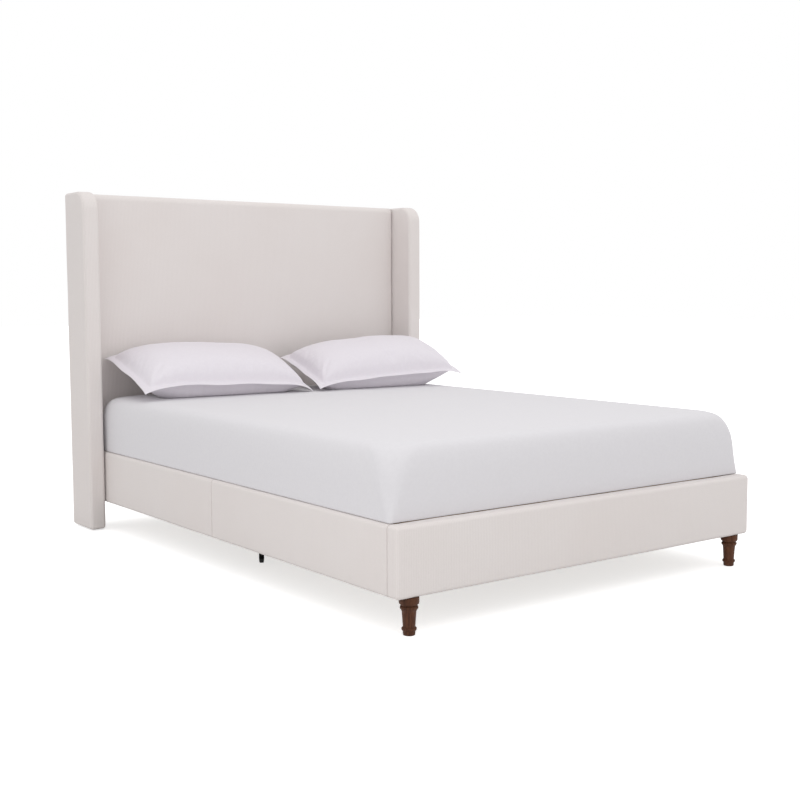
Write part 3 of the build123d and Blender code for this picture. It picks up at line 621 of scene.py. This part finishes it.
def steel(name, hex_colour, roughness, metallic, specular, peel_scale, peel_depth):
    """Steel under its finish: a fine orange peel or brushed grain, and worn lighter patches."""
    material, tree, place = new_material(name)
    tone = linear(hex_colour)
    wear = noise(tree, place, scale=22.0, detail=4.0, roughness=0.6)
    share = spread(tree, wear, low=0.4, high=0.8, most=0.6)
    worn = blend(tree, share, rgba(tone), tinted(tone, 1.35, 0.001))
    gloss = spread(tree, wear, low=0.3, high=0.7, most=roughness + 0.08, least=roughness - 0.05)
    peel = noise(tree, place, peel_scale, detail=3.0)
    more = {"Metallic": metallic, "Specular IOR Level": specular}
    surface(tree, worn, gloss, peel, peel_depth, strength=0.4, more=more)
    return material


def plastic(name, hex_colour, roughness):
    """Moulded plastic: even colour, a fine spark-eroded texture and a faint flow mottle."""
    material, tree, place = new_material(name)
    tone = linear(hex_colour)
    flow = noise(tree, place, scale=60.0, detail=3.0)
    mottled = blend(tree, flow, rgba(tone), tinted(tone, 1.25, 0.002))
    spark = noise(tree, place, scale=2400.0, detail=1.0)
    more = {"IOR": 1.5, "Specular IOR Level": 0.3}
    surface(tree, mottled, roughness, spark, depth=0.0001, strength=0.5, more=more)
    return material


# How many times a wave texture of scale one repeats over tau metres
WAVES_PER_TURN = 20


def plain_cloth(name, hex_colour, thread, roughness):
    """Plain coarse cloth, ticking or webbing, with crossed threads of that spacing and a darker mottle."""
    material, tree, place = new_material(name)
    threads = {"Vector": place, "Scale": math.tau / WAVES_PER_TURN / thread}
    warp, weft = (add(tree, "ShaderNodeTexWave", threads, out="Fac", bands_direction=way) for way in "XZ")
    weave = maths(tree, "MAXIMUM", warp, weft)
    mottle = noise(tree, place, scale=35.0, detail=4.0)
    tone = linear(hex_colour)
    dark = tinted(tone, 0.72)
    mottled = blend(tree, spread(tree, mottle, low=0.3, high=0.75, most=0.35), rgba(tone), dark)
    lined = blend(tree, maths(tree, "MULTIPLY", weave, 0.18), mottled, dark)
    surface(tree, lined, roughness, weave, depth=0.0003, strength=0.5, more={"Specular IOR Level": 0.2})
    return material


def foam(name, hex_colour):
    """Cut open-cell foam: small pits all over."""
    material, tree, place = new_material(name)
    cells = add(tree, "ShaderNodeTexVoronoi", {"Vector": place, "Scale": 400.0}, out="Distance")
    tone = linear(hex_colour)
    surface(tree, blend(tree, cells, rgba(tone), tinted(tone, 0.8)), 0.95, cells, depth=0.0006, strength=0.5)
    return material


# How much the grain is drawn out: scales across it and along it
ACROSS_GRAIN, ALONG_GRAIN = 1.0, 0.07
UPRIGHT = (ACROSS_GRAIN, ACROSS_GRAIN, ALONG_GRAIN)
PINE_GRAINS = {
    "pine": ("planed_pine", (ALONG_GRAIN, ACROSS_GRAIN, ACROSS_GRAIN)),
    "pine_lengthwise": ("planed_pine_lengthwise", (ACROSS_GRAIN, ALONG_GRAIN, ACROSS_GRAIN)),
    "pine_upright": ("planed_pine_upright", UPRIGHT),
}
# Each plain cloth's slot, with its name, colour, threads' spacing in metres and roughness
PLAIN_CLOTHS = {
    "dust_cloth": ("spunbond_dust_cloth", "#C9C4BE", 0.0024, 0.9),
    "webbing": ("woven_polyester_webbing", "#D8D6CF", 0.002, 0.7),
    "mattress_foam": ("knitted_mattress_ticking", "#E4E2DC", 0.003, 0.9),
    "pillow_filling": ("downproof_pillow_cotton", "#EFEFEF", 0.0015, 0.9),
}


def make_materials(colours):
    """Every finish of the bed, under the name of its slot in the record."""
    materials["ribbed_fabric"] = ribbed_cloth(colours)
    # Percale, plain woven and pressed flat: matt, with a few soft creases
    looks = {"crease_scale": 7.0, "crease_depth": 0.0016, "roughness": 0.8, "sheen": 0.08}
    materials["cotton_sheet"] = cotton("cotton_percale", colours.sheet_cotton, colours.sheet_slub, **looks)
    # Sateen, satin woven: a little smoother, so its folds catch the light
    looks = {"crease_scale": 9.0, "crease_depth": 0.0022, "roughness": 0.62, "sheen": 0.15}
    materials["cotton_sham"] = cotton("cotton_sateen", colours.sham_cotton, colours.sham_slub, **looks)
    # Walnut stain over beech, turned and lacquered: dark streaks under a thin satin coat
    looks = {"ring": 0.005, "roughness": 0.52, "specular": 0.14, "coat": 0.04}
    materials["walnut_stained_wood"] = timber(
        "walnut_stained_beech_turned", colours.walnut, colours.walnut_grain, UPRIGHT, **looks
    )
    # Pine, planed and left bare: pale, with wide rings that follow each piece's length
    looks = {"early": colours.pine_early, "late": colours.pine_late, "ring": 0.012, "roughness": 0.6}
    for slot, (name, grain) in PINE_GRAINS.items():
        materials[slot] = timber(name, grain=grain, **looks)
    materials["plywood"] = plywood("rotary_cut_plywood", colours.ply_face, colours.ply_figure)
    # Powder coat: near black and satin, with the slight orange peel of baked powder
    looks = {"roughness": 0.6, "metallic": 0.0, "specular": 0.07, "peel_scale": 700.0, "peel_depth": 0.0003}
    materials["black_steel"] = steel("powder_coated_steel", "#070707", **looks)
    # Bright zinc plate: pale grey metal with a cloudy patina
    looks = {"roughness": 0.34, "metallic": 1.0, "specular": 0.5, "peel_scale": 1500.0, "peel_depth": 0.0001}
    materials["zinc_steel"] = steel("zinc_plated_steel", "#B9BCBE", **looks)
    materials["nylon"] = plastic("moulded_nylon", "#2A2724", roughness=0.55)
    materials["black_plastic"] = plastic("moulded_polypropylene", "#101010", roughness=0.48)
    for slot, cloth in PLAIN_CLOTHS.items():
        materials[slot] = plain_cloth(*cloth)
    materials["upholstery_foam"] = foam("open_cell_foam", "#E6D9A8")


def corners(node):
    """A node's lowest and highest corner as arrays."""
    low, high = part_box(node)
    return np.array(low), np.array(high)


class BED_OT_materials(bpy.types.Operator):
    """Makes the finishes and gives each node of the frame its own"""

    bl_idname = "bed.materials"
    bl_label = "Finishes"

    def execute(self, context):
        make_materials(context.scene.bed_colours)
        upright = ("stile", "support_leg", "wing_core")
        lengthwise = ("rail_board", "cleat", "centre_beam")
        for name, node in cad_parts.items():
            slot = node.material_slots[0].material.name.split(".")[0]
            if slot == "pine" and any(word in name for word in upright):
                slot = "pine_upright"
            elif slot == "pine" and any(word in name for word in lengthwise):
                slot = "pine_lengthwise"
            node.data.materials.clear()
            node.data.materials.append(materials[slot])
        return {"FINISHED"}


class BED_OT_headboard(bpy.types.Operator):
    """Makes the headboard's padded cover"""

    bl_idname = "bed.headboard"
    bl_label = "Headboard"

    def execute(self, context):
        look = context.scene.bed_upholstery
        low, high = corners("headboard_cover")
        roll, side = look.headboard_roll, look.headboard_side
        rolls = ((side, side), (roll, look.back_edge), (roll, roll))
        panels = rolled_box(low, high, rolls, (0,), 0, look, look.seam_depth, 1, headboard_relief)
        upholster("headboard_upholstery", panels, ("headboard_cover", "headboard_foam"))
        return {"FINISHED"}


class BED_OT_wings(bpy.types.Operator):
    """Makes the covers of both wings"""

    bl_idname = "bed.wings"
    bl_label = "Wings"

    def execute(self, context):
        look = context.scene.bed_upholstery
        for seed, side in enumerate(("left", "right")):
            low, high = corners(f"{side}_wing_cover")
            inner, outer = (low[0], high[0]) if side == "right" else (high[0], low[0])
            panels = wing_panels(
                inner, outer, low[1:], high[1:], look.wing_corner, look.wing_edge, look, 2 + seed
            )
            replaced = (f"{side}_wing_cover", f"{side}_wing_foam")
            upholster(f"{side}_wing_upholstery", panels, replaced)
        return {"FINISHED"}


class BED_OT_footboard(bpy.types.Operator):
    """Makes the footboard's padded cover"""

    bl_idname = "bed.footboard"
    bl_label = "Footboard"

    def execute(self, context):
        look = context.scene.bed_upholstery
        low, high = corners("footboard_cover")
        roll = look.rail_roll
        rolls = ((roll, roll), (roll, look.footboard_back), (roll, roll))
        panels = rolled_box(low, high, rolls, (0, 1), 0, look, look.turn_depth, 4)
        upholster("footboard_upholstery", panels, ("footboard_cover", "footboard_foam"))
        return {"FINISHED"}


class BED_OT_rails(bpy.types.Operator):
    """Makes the padded covers of the four rail halves"""

    bl_idname = "bed.rails"
    bl_label = "Side rails"

    def execute(self, context):
        look = context.scene.bed_upholstery
        roll, end = look.rail_roll, look.rail_end
        rolls = ((roll, roll), (end, end), (roll, roll))
        names = ("left_front_rail", "left_rear_rail", "right_front_rail", "right_rear_rail")
        for seed, name in enumerate(names, start=5):
            low, high = corners(f"{name}_cover")
            panels = rolled_box(low, high, rolls, (1,), 1, look, look.seam_depth, seed)
            upholster(f"{name}_upholstery", panels, (f"{name}_cover",))
        return {"FINISHED"}


def turned_profile(width, height):
    """Radius and height of a turned leg's outline.

    The bead and the ring are half ellipses, the flange is a quarter ellipse and the shaft is a taper. Every
    number is a share of the flange's radius or of the leg's height.
    """
    half_turn = np.linspace(0, math.pi, 9)
    quarter = np.linspace(0, math.pi / 2, 6)
    foot = [(0, 0), (0.52, 0), (0.57, 0.005), (0.6, 0.018), (0.62, 0.115)]
    bead = np.stack([0.62 + 0.13 * np.sin(half_turn), 0.165 - 0.045 * np.cos(half_turn)], -1)
    shaft = [(0.615, 0.218), (0.62, 0.25), (0.645, 0.35), (0.67, 0.45), (0.71, 0.59), (0.725, 0.64)]
    step = [(0.77, 0.646), (0.785, 0.654), (0.785, 0.668)]
    ring = np.stack([0.785 + 0.115 * np.sin(half_turn), 0.715 - 0.046 * np.cos(half_turn)], -1)
    neck = [(0.765, 0.77), (0.765, 0.785)]
    flange = np.stack([0.8 + 0.2 * np.sin(quarter), 0.86 - 0.07 * np.cos(quarter)], -1)
    top = [(1, 0.9), (1, 0.99), (0.985, 1), (0, 1)]
    return np.concatenate([foot, bead, shaft, step, ring, neck, flange, top]) * (width / 2, height)


class BED_OT_front_legs(bpy.types.Operator):
    """Turns the two wooden legs"""

    bl_idname = "bed.front_legs"
    bl_label = "Turned legs"

    def execute(self, context):
        for side in ("left", "right"):
            low, high = corners(f"{side}_front_leg")
            centre = (low + high) / 2
            profile = turned_profile(high[0] - low[0], high[2] - low[2])
            turn = np.linspace(0, math.tau, 73)
            points = np.empty((len(profile), len(turn), 3))
            points[..., 0] = centre[0] + profile[:, :1] * np.cos(turn)
            points[..., 1] = centre[1] + profile[:, :1] * np.sin(turn)
            points[..., 2] = low[2] + profile[:, 1:]
            around = np.stack(np.broadcast_arrays(turn[None, :], profile[:, 1:]), -1)
            piece = sew(f"{side}_turned_leg", [panel(points, np.zeros_like(points), around)])
            finish_piece(piece, FRAME_BODY, "walnut_stained_wood", (f"{side}_front_leg",))
        return {"FINISHED"}


# Height share of the mattress, inset share of its roll and radius share of its corner, from the bottom up
MATTRESS_RINGS = np.array(
    (
        (0.006, -0.075, 0.06),
        (0.014, -0.085, 0.07),
        (0.030, -0.09, 0.10),
        (0.080, -0.095, 0.15),
        (0.200, -0.10, 0.26),
        (0.350, -0.10, 0.37),
        (0.500, -0.10, 0.47),
        (0.640, -0.07, 0.58),
        (0.740, -0.01, 0.68),
        (0.810, 0.06, 0.76),
        (0.862, 0.14, 0.83),
        (0.905, 0.25, 0.89),
        (0.936, 0.38, 0.93),
        (0.960, 0.56, 0.97),
        (0.976, 0.80, 1.00),
        (0.986, 1.15, 1.04),
        (0.992, 1.60, 1.10),
        (0.9955, 2.20, 1.22),
        (0.9978, 3.00, 1.42),
        (0.9990, 4.00, 1.70),
    )
)
# Steps round a ring's corner and along its sides, and the ring half way up, along which cloth is measured
RING_TURNS, RING_STEPS, MIDDLE_RING = 7, (124, 168), 6
# Steps over the hem, the radius of its corners and how fast that shrinks inwards
HEM_STEPS, HEM_CORNER, HEM_TURN = 5, 0.012, 0.1
# The side's folds: how many sines, their waves and their most lean in metres, and the power of their height
FOLD_SINES, FOLD_WAVES, FOLD_LEAN, FOLD_POWER = 7, (0.05, 0.16), 0.1, 0.8
# The folds' share away from a corner, and their reach from it in metres
FOLD_FAR, FOLD_REACH = 0.25, 0.16
# The power of the top's crown, and the scale of its slow unevenness along each axis and in height
CROWN_POWER, TOP_SCALE, TOP_SWAY = 4, (1.3, 0.9, 1.0), 1.1


def raised(flat, middle, height):
    """Flat points brought to their middle, at a height."""
    points = np.empty(flat.shape[:2] + (3,))
    points[..., :2] = flat + middle
    points[..., 2] = height
    return points


def mattress_panels(middle, half, low, high, linen, grow, under, wrinkle, seed):
    """The panels of a mattress or of the sheet over it.

    Rounded rectangles are stacked up the side and over the soft top edge, each drawn in by a share of the
    roll, and the top is filled in between the edges of the last one with a low crown, a product of two
    curves of the fourth power. With under, the surface turns in below as a flat hem of that width.
    """
    rise = high - low
    heights, insets, radii = MATTRESS_RINGS.T
    heights = low + heights * rise
    insets = insets * linen.mattress_roll - grow
    radii = radii * linen.mattress_corner + grow
    hem = np.linspace(under, 0, HEM_STEPS)[:-1] if under else np.array([])
    heights = np.concatenate([np.full(len(hem), low), heights])
    radii = np.concatenate([np.maximum(radii[0] + HEM_CORNER - hem * HEM_TURN, HEM_CORNER), radii])
    insets = np.concatenate([insets[0] + hem, insets])
    levels = [
        ring_side(half[0] - inset, half[1] - inset, radius, RING_TURNS, RING_STEPS)
        for inset, radius in zip(insets, radii)
    ]
    share = np.clip((heights - low) / rise, 0, 1)[:, None]
    body = np.sin(share * math.pi) ** FOLD_POWER
    panels = []
    draw = np.random.default_rng(seed)
    for quarter in range(4):
        flat = np.stack([level[quarter] for level in levels])
        run = np.linalg.norm(np.diff(flat[len(hem) + MIDDLE_RING], axis=0), axis=1)
        along = np.concatenate([[0], np.cumsum(run)])
        fold = np.zeros(flat.shape[:2])
        for _ in range(FOLD_SINES):
            wave, lean = draw.uniform(*FOLD_WAVES), draw.uniform(-FOLD_LEAN, FOLD_LEAN)
            phase = draw.uniform(0, math.tau)
            fold += np.sin((along + lean * share) * math.tau / wave + phase)
        near_corner = FOLD_FAR + dip(np.minimum(along, along[-1] - along), FOLD_REACH)
        height = wrinkle * fold / FOLD_SINES * near_corner * body
        outward = np.array([math.cos(quarter * math.pi / 2), math.sin(quarter * math.pi / 2), 0])
        cloth = np.stack(np.broadcast_arrays(along, heights[:, None]), -1)
        points = raised(flat, middle, heights[:, None])
        panels.append(panel(points, height[..., None] * outward, cloth))
    top = coons(levels[-1])
    from_middle = np.clip(np.abs(top / half) / (1 - insets[-1] / half), 0, 1)
    lift = np.prod(1 - from_middle**CROWN_POWER, axis=-1)
    points = raised(top, middle, heights[-1] + (high - heights[-1]) * lift)
    push = np.zeros_like(points)
    push[..., 2] = sway(points * TOP_SCALE, wrinkle * TOP_SWAY, seed + 1) * lift
    panels.append(panel(points, push, points[..., :2]))
    if not under:
        points = raised(coons(levels[0]), middle, heights[0])
        panels.append(panel(points, np.zeros_like(points), points[..., :2]))
    return panels


# The mattress inside its sheet: how far it stands up in thicknesses of the sheet, and how far its top and its
# sides keep inside in metres
CORE_LIFT, CORE_SINK, CORE_INSIDE = 1.3, 0.002, 0.0006


class BED_OT_mattress(bpy.types.Operator):
    """Makes the mattress and the fitted sheet that is stretched over it"""

    bl_idname = "bed.mattress"
    bl_label = "Mattress and sheet"

    def execute(self, context):
        linen = context.scene.bed_linen
        thickness = linen.sheet_thickness
        low, high = corners("mattress")
        middle, half = (low[:2] + high[:2]) / 2, (high[:2] - low[:2]) / 2
        bottom, top = low[2] + CORE_LIFT * thickness, high[2] - CORE_SINK
        core = sew(
            "mattress_core", mattress_panels(middle, half, bottom, top, linen, -CORE_INSIDE, 0, 0.0, 10)
        )
        finish_piece(core, MATTRESS_BODY, "mattress_foam", ("mattress",))
        low, high = corners("fitted_sheet")
        bottom, top = low[2] + thickness, high[2] - thickness
        grow = (high[0] - low[0]) / 2 - half[0] - thickness
        reach, wrinkle = linen.hem_reach, linen.sheet_wrinkle
        panels = mattress_panels(middle, half, bottom, top, linen, grow, reach, wrinkle, 11)
        sheet = sew("fitted_sheet_cloth", panels)
        thick = sheet.modifiers.new("Thickness", "SOLIDIFY")
        thick.thickness, thick.offset = thickness, 1.0
        finish_piece(sheet, MATTRESS_BODY, "cotton_sheet", ("fitted_sheet",))
        return {"FINISHED"}


# Each pillow's sham as width and depth, its crown's height over the corners and the seam's bow, its middle as
# the place across, the distance from the headboard and the height over the sheet, and its turns in degrees
# about X and then about its own Y and Z
PILLOWS = {
    "left": ((0.774, 0.43), (0.104, 0.024), (-0.342, 0.224, 0.085), (16.6, 1.7, -1.1)),
    "right": ((0.733, 0.406), (0.098, 0.011), (0.434, 0.3, 0.099), (16.6, -4.6, -4.4)),
}
# Steps of the belly's grid across and along, steps over the flange, and frames that the cloth swells for
BELLY_STEPS, FLANGE_STEPS, SWELL_FRAMES = (96, 56), 7, 20
# How full the belly is near its seams: powers above and below it, across and along, and the width over which
# an end rises as a share of half the depth
STUFFED_POWER, HUNG_POWERS, END_SPAN = 0.38, (0.75, 0.38), 1.35
# The flange's waves and the puckers along the seam: lean, how many sines, and shortest and longest wave
WAVES, PUCKERS = (1.3, 4, (0.16, 0.34)), (-0.6, 5, (0.018, 0.05))
# The puckers' height, their reach from the seam and the width over which they start
PUCKER_HEIGHT, PUCKER_REACH, PUCKER_START = 0.0025, 0.03, 0.006
# The belly's slow unevenness: its scale along each axis and its height
BELLY_SCALE, BELLY_SWAY = (1.2, 2.2, 0.0), 0.004
# Powers of the seam's arch and of the corners' droop
ARCH_POWER, DROOP_POWER = 6, 8
# The stitched line's depth as a share of the flange's thickness, its width, and the flange's rounded share
STITCH_DEPTH, STITCH_WIDTH, HEM_SHARE = 0.55, 0.0025, 0.1
# How much smaller a filling is than its sham, how far each keeps over the sheet, and the top cloth's extra
FILLING_SHRINK, FILLING_LIFT, SHAM_LIFT, TOP_LIFT = 0.014, 0.003, 0.0003, 0.0015


def swell(above, below, linen):
    """Swells the two sides of a stuffed sham with air until the cloth rests, its seam held.

    Both grids share their outer points. The cloth gets a share of slack, so it gathers along the seam. How
    far a point moves is a hyperbolic tangent of the distance, which never passes the limit.
    """
    rows, columns = above.shape[:2]
    upper = np.arange(rows * columns).reshape(rows, columns)
    lower = upper.copy()
    inside = (slice(1, -1), slice(1, -1))
    lower[inside] = rows * columns + np.arange((rows - 2) * (columns - 2)).reshape(rows - 2, columns - 2)
    points = np.concatenate([above.reshape(-1, 3), below[inside].reshape(-1, 3)])
    faces = [
        np.stack([grid[:-1, :-1], grid[1:, :-1], grid[1:, 1:], grid[:-1, 1:]], -1).reshape(-1, 4)
        for grid in (upper, lower[:, ::-1])
    ]
    mesh = bpy.data.meshes.new("swelling_cloth")
    mesh.from_pydata(points.tolist(), [], np.concatenate(faces).tolist())
    cloth = bpy.data.objects.new("swelling_cloth", mesh)
    scene = bpy.context.scene
    scene.collection.objects.link(cloth)
    held = np.ones((rows, columns), bool)
    held[inside] = False
    cloth.vertex_groups.new(name="seam").add(upper[held].tolist(), 1.0, "REPLACE")
    modifier = cloth.modifiers.new("Swell", "CLOTH")
    settings = modifier.settings
    settings.quality = 6
    settings.use_pressure = True
    settings.uniform_pressure_force = linen.pillow_air
    settings.vertex_group_mass = "seam"
    settings.shrink_min = -linen.pillow_slack
    settings.effector_weights.gravity = 0
    modifier.collision_settings.use_collision = False
    for frame_number in range(1, SWELL_FRAMES + 1):
        scene.frame_set(frame_number)
    rested = cloth.evaluated_get(bpy.context.evaluated_depsgraph_get())
    places = np.empty(points.size, np.float32)
    rested.data.vertices.foreach_get("co", places)
    bpy.data.objects.remove(cloth)
    bpy.data.meshes.remove(mesh)
    scene.frame_set(1)
    shift = places.reshape(-1, 3) - points
    far = np.maximum(np.linalg.norm(shift, axis=1, keepdims=True), TINY)
    points = points + shift * np.tanh(far / linen.swell_limit) * linen.swell_limit / far
    return points[upper], points[lower]


def ripples(x, y, draw, lean, count, waves):
    """The mean of sines of the place across plus a share of the place along, with drawn waves and phases."""
    total = np.zeros_like(x)
    for _ in range(count):
        wave, phase = draw.uniform(*waves), draw.uniform(0, math.tau)
        total += np.sin((x + lean * y) * math.tau / wave + phase)
    return total / count


def sham_panels(size, crown, linen, shrink, flanged, axes, middle, bed_level, seed):
    """The panels of a stuffed sham, above and below its seam.

    The seam's surface is an arch over the width, one less the sixth power of the place across, and its
    corners droop by a high power of both places. The belly stands over and under it by a product of two
    powers of a parabola in the distances from the seams, fuller than an ellipse above and leaner towards the
    ends below, with short puckers along them. The sides draw in between the corners by a parabola, and the
    flange has slow waves. Whatever would lie below the bed is pressed flat against it.
    """
    half, (rise, bow) = np.array(size) / 2, crown
    belly = half - linen.flange - shrink
    rim = FLANGE_STEPS if flanged else 0
    steps = []
    for axis, count in enumerate(BELLY_STEPS):
        outer = np.linspace(belly[axis], half[axis], rim + 1)[1:]
        inner = np.linspace(-belly[axis], belly[axis], count + 1)
        steps.append(np.concatenate([-outer[::-1], inner, outer]))
    x, y = np.meshgrid(*steps, indexing="ij")
    u, v = x / half[0], y / half[1]
    stuffed, hung = np.ones_like(x), np.ones_like(x)
    spans = (END_SPAN * belly[1], belly[1])
    for place, reach, span, power in zip((x, y), belly, spans, HUNG_POWERS):
        full = 1 - (1 - np.clip((reach - np.abs(place)) / span, 0, 1)) ** 2
        stuffed *= full**STUFFED_POWER
        hung *= full**power
    from_seam = np.minimum(belly[0] - np.abs(x), belly[1] - np.abs(y))
    outside = np.maximum(-from_seam, 0) / linen.flange
    draw = np.random.default_rng(seed)
    waves, pucker = ripples(x, y, draw, *WAVES), ripples(x, y, draw, *PUCKERS)
    near_seam = np.exp(-np.abs(from_seam) / PUCKER_REACH) * np.clip(from_seam / PUCKER_START, 0, 1)
    spot = np.stack([x, y, np.zeros_like(x)], -1)
    wander = sway(spot * BELLY_SCALE, BELLY_SWAY, seed + 5) * stuffed
    arch = bow * (1 - u**ARCH_POWER) + linen.flange_wave * waves * np.clip(outside, 0, 1)
    arch -= linen.pillow_droop * (u * v) ** DROOP_POWER
    above, below = spot.copy(), spot.copy()
    for local in (above, below):
        local[..., 0] -= linen.end_pull * (1 - v**2) * u * np.abs(u)
        local[..., 1] -= linen.side_pull * (1 - u**2) * v * np.abs(v)
    above[..., 2] = arch + (rise - bow - shrink) * stuffed + PUCKER_HEIGHT * pucker * near_seam + wander
    below[..., 2] = arch - (linen.pillow_drop - shrink) * hung
    if flanged:
        inner = (slice(rim, -rim), slice(rim, -rim))
        above[inner], below[inner] = swell(above[inner], below[inner], linen)
        stitched = 1 - STITCH_DEPTH * dip(from_seam, STITCH_WIDTH)
        rounded = np.sqrt(1 - np.clip((outside - 1) / HEM_SHARE + 1, 0, 1) ** 2)
        half_thick = linen.flange_thickness / 2 * stitched * rounded
        above[..., 2] += half_thick
        below[..., 2] -= half_thick
    panels = []
    for local, slack in ((above, TOP_LIFT), (below, 0.0)):
        points = local @ axes.T + middle
        points[..., 2] = np.maximum(points[..., 2], bed_level + slack)
        panels.append(panel(points, np.zeros_like(points), spot[..., :2], flip=local is below))
    return panels


class BED_OT_pillows(bpy.types.Operator):
    """Makes both pillows and their shams"""

    bl_idname = "bed.pillows"
    bl_label = "Pillows"

    def execute(self, context):
        linen = context.scene.bed_linen
        bed_level = corners("fitted_sheet")[1][2]
        head_front = corners("headboard_cover")[0][1]
        for seed, (side, (size, crown, place, turns)) in enumerate(PILLOWS.items(), start=2):
            across, setback, lift = place
            tilt, roll, turn = (
                Matrix.Rotation(math.radians(degrees), 3, axis) for degrees, axis in zip(turns, "XYZ")
            )
            axes = np.array(tilt @ roll @ turn)
            middle = np.array((across, head_front - setback, bed_level + lift))
            body = f"{side}_pillow_in_sham"
            for name, slot, replaced, shrink, flanged, clear in (
                ("pillow_filling", "pillow_filling", "pillow", FILLING_SHRINK, False, FILLING_LIFT),
                ("sham_cloth", "cotton_sham", "sham", 0.0, True, SHAM_LIFT),
            ):
                level = bed_level + clear
                panels = sham_panels(
                    size, crown, linen, shrink, flanged, axes, middle, level, seed * 10 + 1
                )
                piece = sew(f"{side}_{name}", panels)
                if flanged:
                    smooth = piece.modifiers.new("Smooth", "SUBSURF")
                    smooth.levels = smooth.render_levels = 1
                finish_piece(piece, body, slot, (f"{side}_{replaced}",))
        return {"FINISHED"}


# Each lamp's place, what it points at, its width and its height
LAMPS = {
    "top": ((0.0, -0.6, 4.0), (0.0, 0.0, 0.5), 3.0, 3.0),
    "front": ((-1.5, -2.5, 2.5), (0.2, 0.8, 0.7), 1.2, 1.2),
    "left": ((-2.8, -1.5, 0.6), (-0.8, -0.6, 0.3), 1.2, 0.8),
    "right": ((3.0, -3.0, 0.5), (0.7, -1.0, 0.3), 1.2, 0.7),
}
# Half the floor's side in metres, and the whites of floor and sky
FLOOR_REACH = 30.0
FLOOR_WHITE = (0.8, 0.8, 0.8, 1.0)
SKY_WHITE = (1.0, 1.0, 1.0, 1.0)


def seen_directly(tree):
    """One for a ray from the camera or off a shiny or clear surface, and zero for one that carries light."""
    kinds = ("Camera", "Glossy", "Transmission")
    camera, shiny, clear = (add(tree, "ShaderNodeLightPath", out=f"Is {kind} Ray") for kind in kinds)
    return maths(tree, "MAXIMUM", maths(tree, "MAXIMUM", camera, shiny), clear)


class BED_OT_stage(bpy.types.Operator):
    """Makes the floor, the light and the camera"""

    bl_idname = "bed.stage"
    bl_label = "Stage"

    def execute(self, context):
        scene, setup = context.scene, context.scene.bed_stage
        mesh = bpy.data.meshes.new("floor")
        outline = ((-1, -1), (1, -1), (1, 1), (-1, 1))
        mesh.from_pydata([(FLOOR_REACH * x, FLOOR_REACH * y, 0) for x, y in outline], [], [(0, 1, 2, 3)])
        floor = bpy.data.objects.new("floor", mesh)
        scene.collection.objects.link(floor)
        # Matt white studio floor. What the camera sees is lifted to white, and the bed's shadow stays in it.
        material = bpy.data.materials.new("white_studio_floor")
        tree = empty_tree(material)
        lit = add(tree, "ShaderNodeBsdfDiffuse", {"Color": FLOOR_WHITE})
        lift = maths(tree, "MULTIPLY", seen_directly(tree), setup.floor_glow)
        glow = add(tree, "ShaderNodeEmission", {"Strength": lift})
        both = add(tree, "ShaderNodeAddShader", {0: lit, 1: glow})
        add(tree, "ShaderNodeOutputMaterial", {"Surface": both})
        mesh.materials.append(material)

        scene.world = bpy.data.worlds.new("studio")
        tree = empty_tree(scene.world)
        strength = spread(tree, seen_directly(tree), low=0.0, high=1.0, least=setup.sky_level)
        sky = add(tree, "ShaderNodeBackground", {"Color": SKY_WHITE, "Strength": strength})
        add(tree, "ShaderNodeOutputWorld", {"Surface": sky})

        for name, (place, aim, width, height) in LAMPS.items():
            lamp = bpy.data.lights.new(f"{name}_lamp", "AREA")
            lamp.shape = "RECTANGLE"
            lamp.size, lamp.size_y = width, height
            lamp.energy = getattr(setup, f"{name}_level")
            stand = bpy.data.objects.new(f"{name}_lamp", lamp)
            scene.collection.objects.link(stand)
            place, aim = Vector(place), Vector(aim)
            turned = (aim - place).to_track_quat("-Z", "Y").to_matrix().to_4x4()
            stand.matrix_world = Matrix.Translation(place) @ turned

        camera = bpy.data.cameras.new("camera")
        camera.sensor_width = 36.0
        camera.lens = setup.lens
        camera.clip_end = 200.0
        viewer = bpy.data.objects.new("camera", camera)
        scene.collection.objects.link(viewer)
        yaw = Matrix.Rotation(-setup.camera_yaw, 4, "Z")
        pitch = Matrix.Rotation(math.pi / 2 - setup.camera_pitch, 4, "X")
        roll = Matrix.Rotation(setup.camera_roll, 4, "Z")
        place = Matrix.Translation((setup.camera_x, setup.camera_y, setup.camera_z))
        viewer.matrix_world = place @ yaw @ pitch @ roll
        scene.camera = viewer
        scene.view_settings.view_transform = "Standard"
        return {"FINISHED"}


class BED_PT_panel(bpy.types.Panel):
    """Lists the steps that dress the bed"""

    bl_label = "Upholstered bed"
    bl_idname = "BED_PT_panel"
    bl_space_type = "VIEW_3D"
    bl_region_type = "UI"
    bl_category = "Bed"

    def draw(self, context):
        for name in GROUPS:
            group, box = getattr(context.scene, name), self.layout.box()
            for entry in group.__annotations__:
                box.prop(group, entry)
        for step in STEPS:
            self.layout.operator(step.bl_idname)


GROUPS = {
    "bed_upholstery": BedUpholstery,
    "bed_linen": BedLinen,
    "bed_colours": BedColours,
    "bed_stage": BedStage,
}
STEPS = (
    BED_OT_materials,
    BED_OT_headboard,
    BED_OT_wings,
    BED_OT_footboard,
    BED_OT_rails,
    BED_OT_front_legs,
    BED_OT_mattress,
    BED_OT_pillows,
    BED_OT_stage,
)


def register():
    for one in (*GROUPS.values(), *STEPS, BED_PT_panel):
        bpy.utils.register_class(one)
    for name, group in GROUPS.items():
        setattr(bpy.types.Scene, name, PointerProperty(type=group))


def unregister():
    for name in GROUPS:
        delattr(bpy.types.Scene, name)
    for one in (BED_PT_panel, *reversed(STEPS), *reversed(list(GROUPS.values()))):
        bpy.utils.unregister_class(one)


def main():
    register()
    for step in STEPS:
        group, name = step.bl_idname.split(".")
        getattr(getattr(bpy.ops, group), name)()


if __name__ == "__main__":
    main()
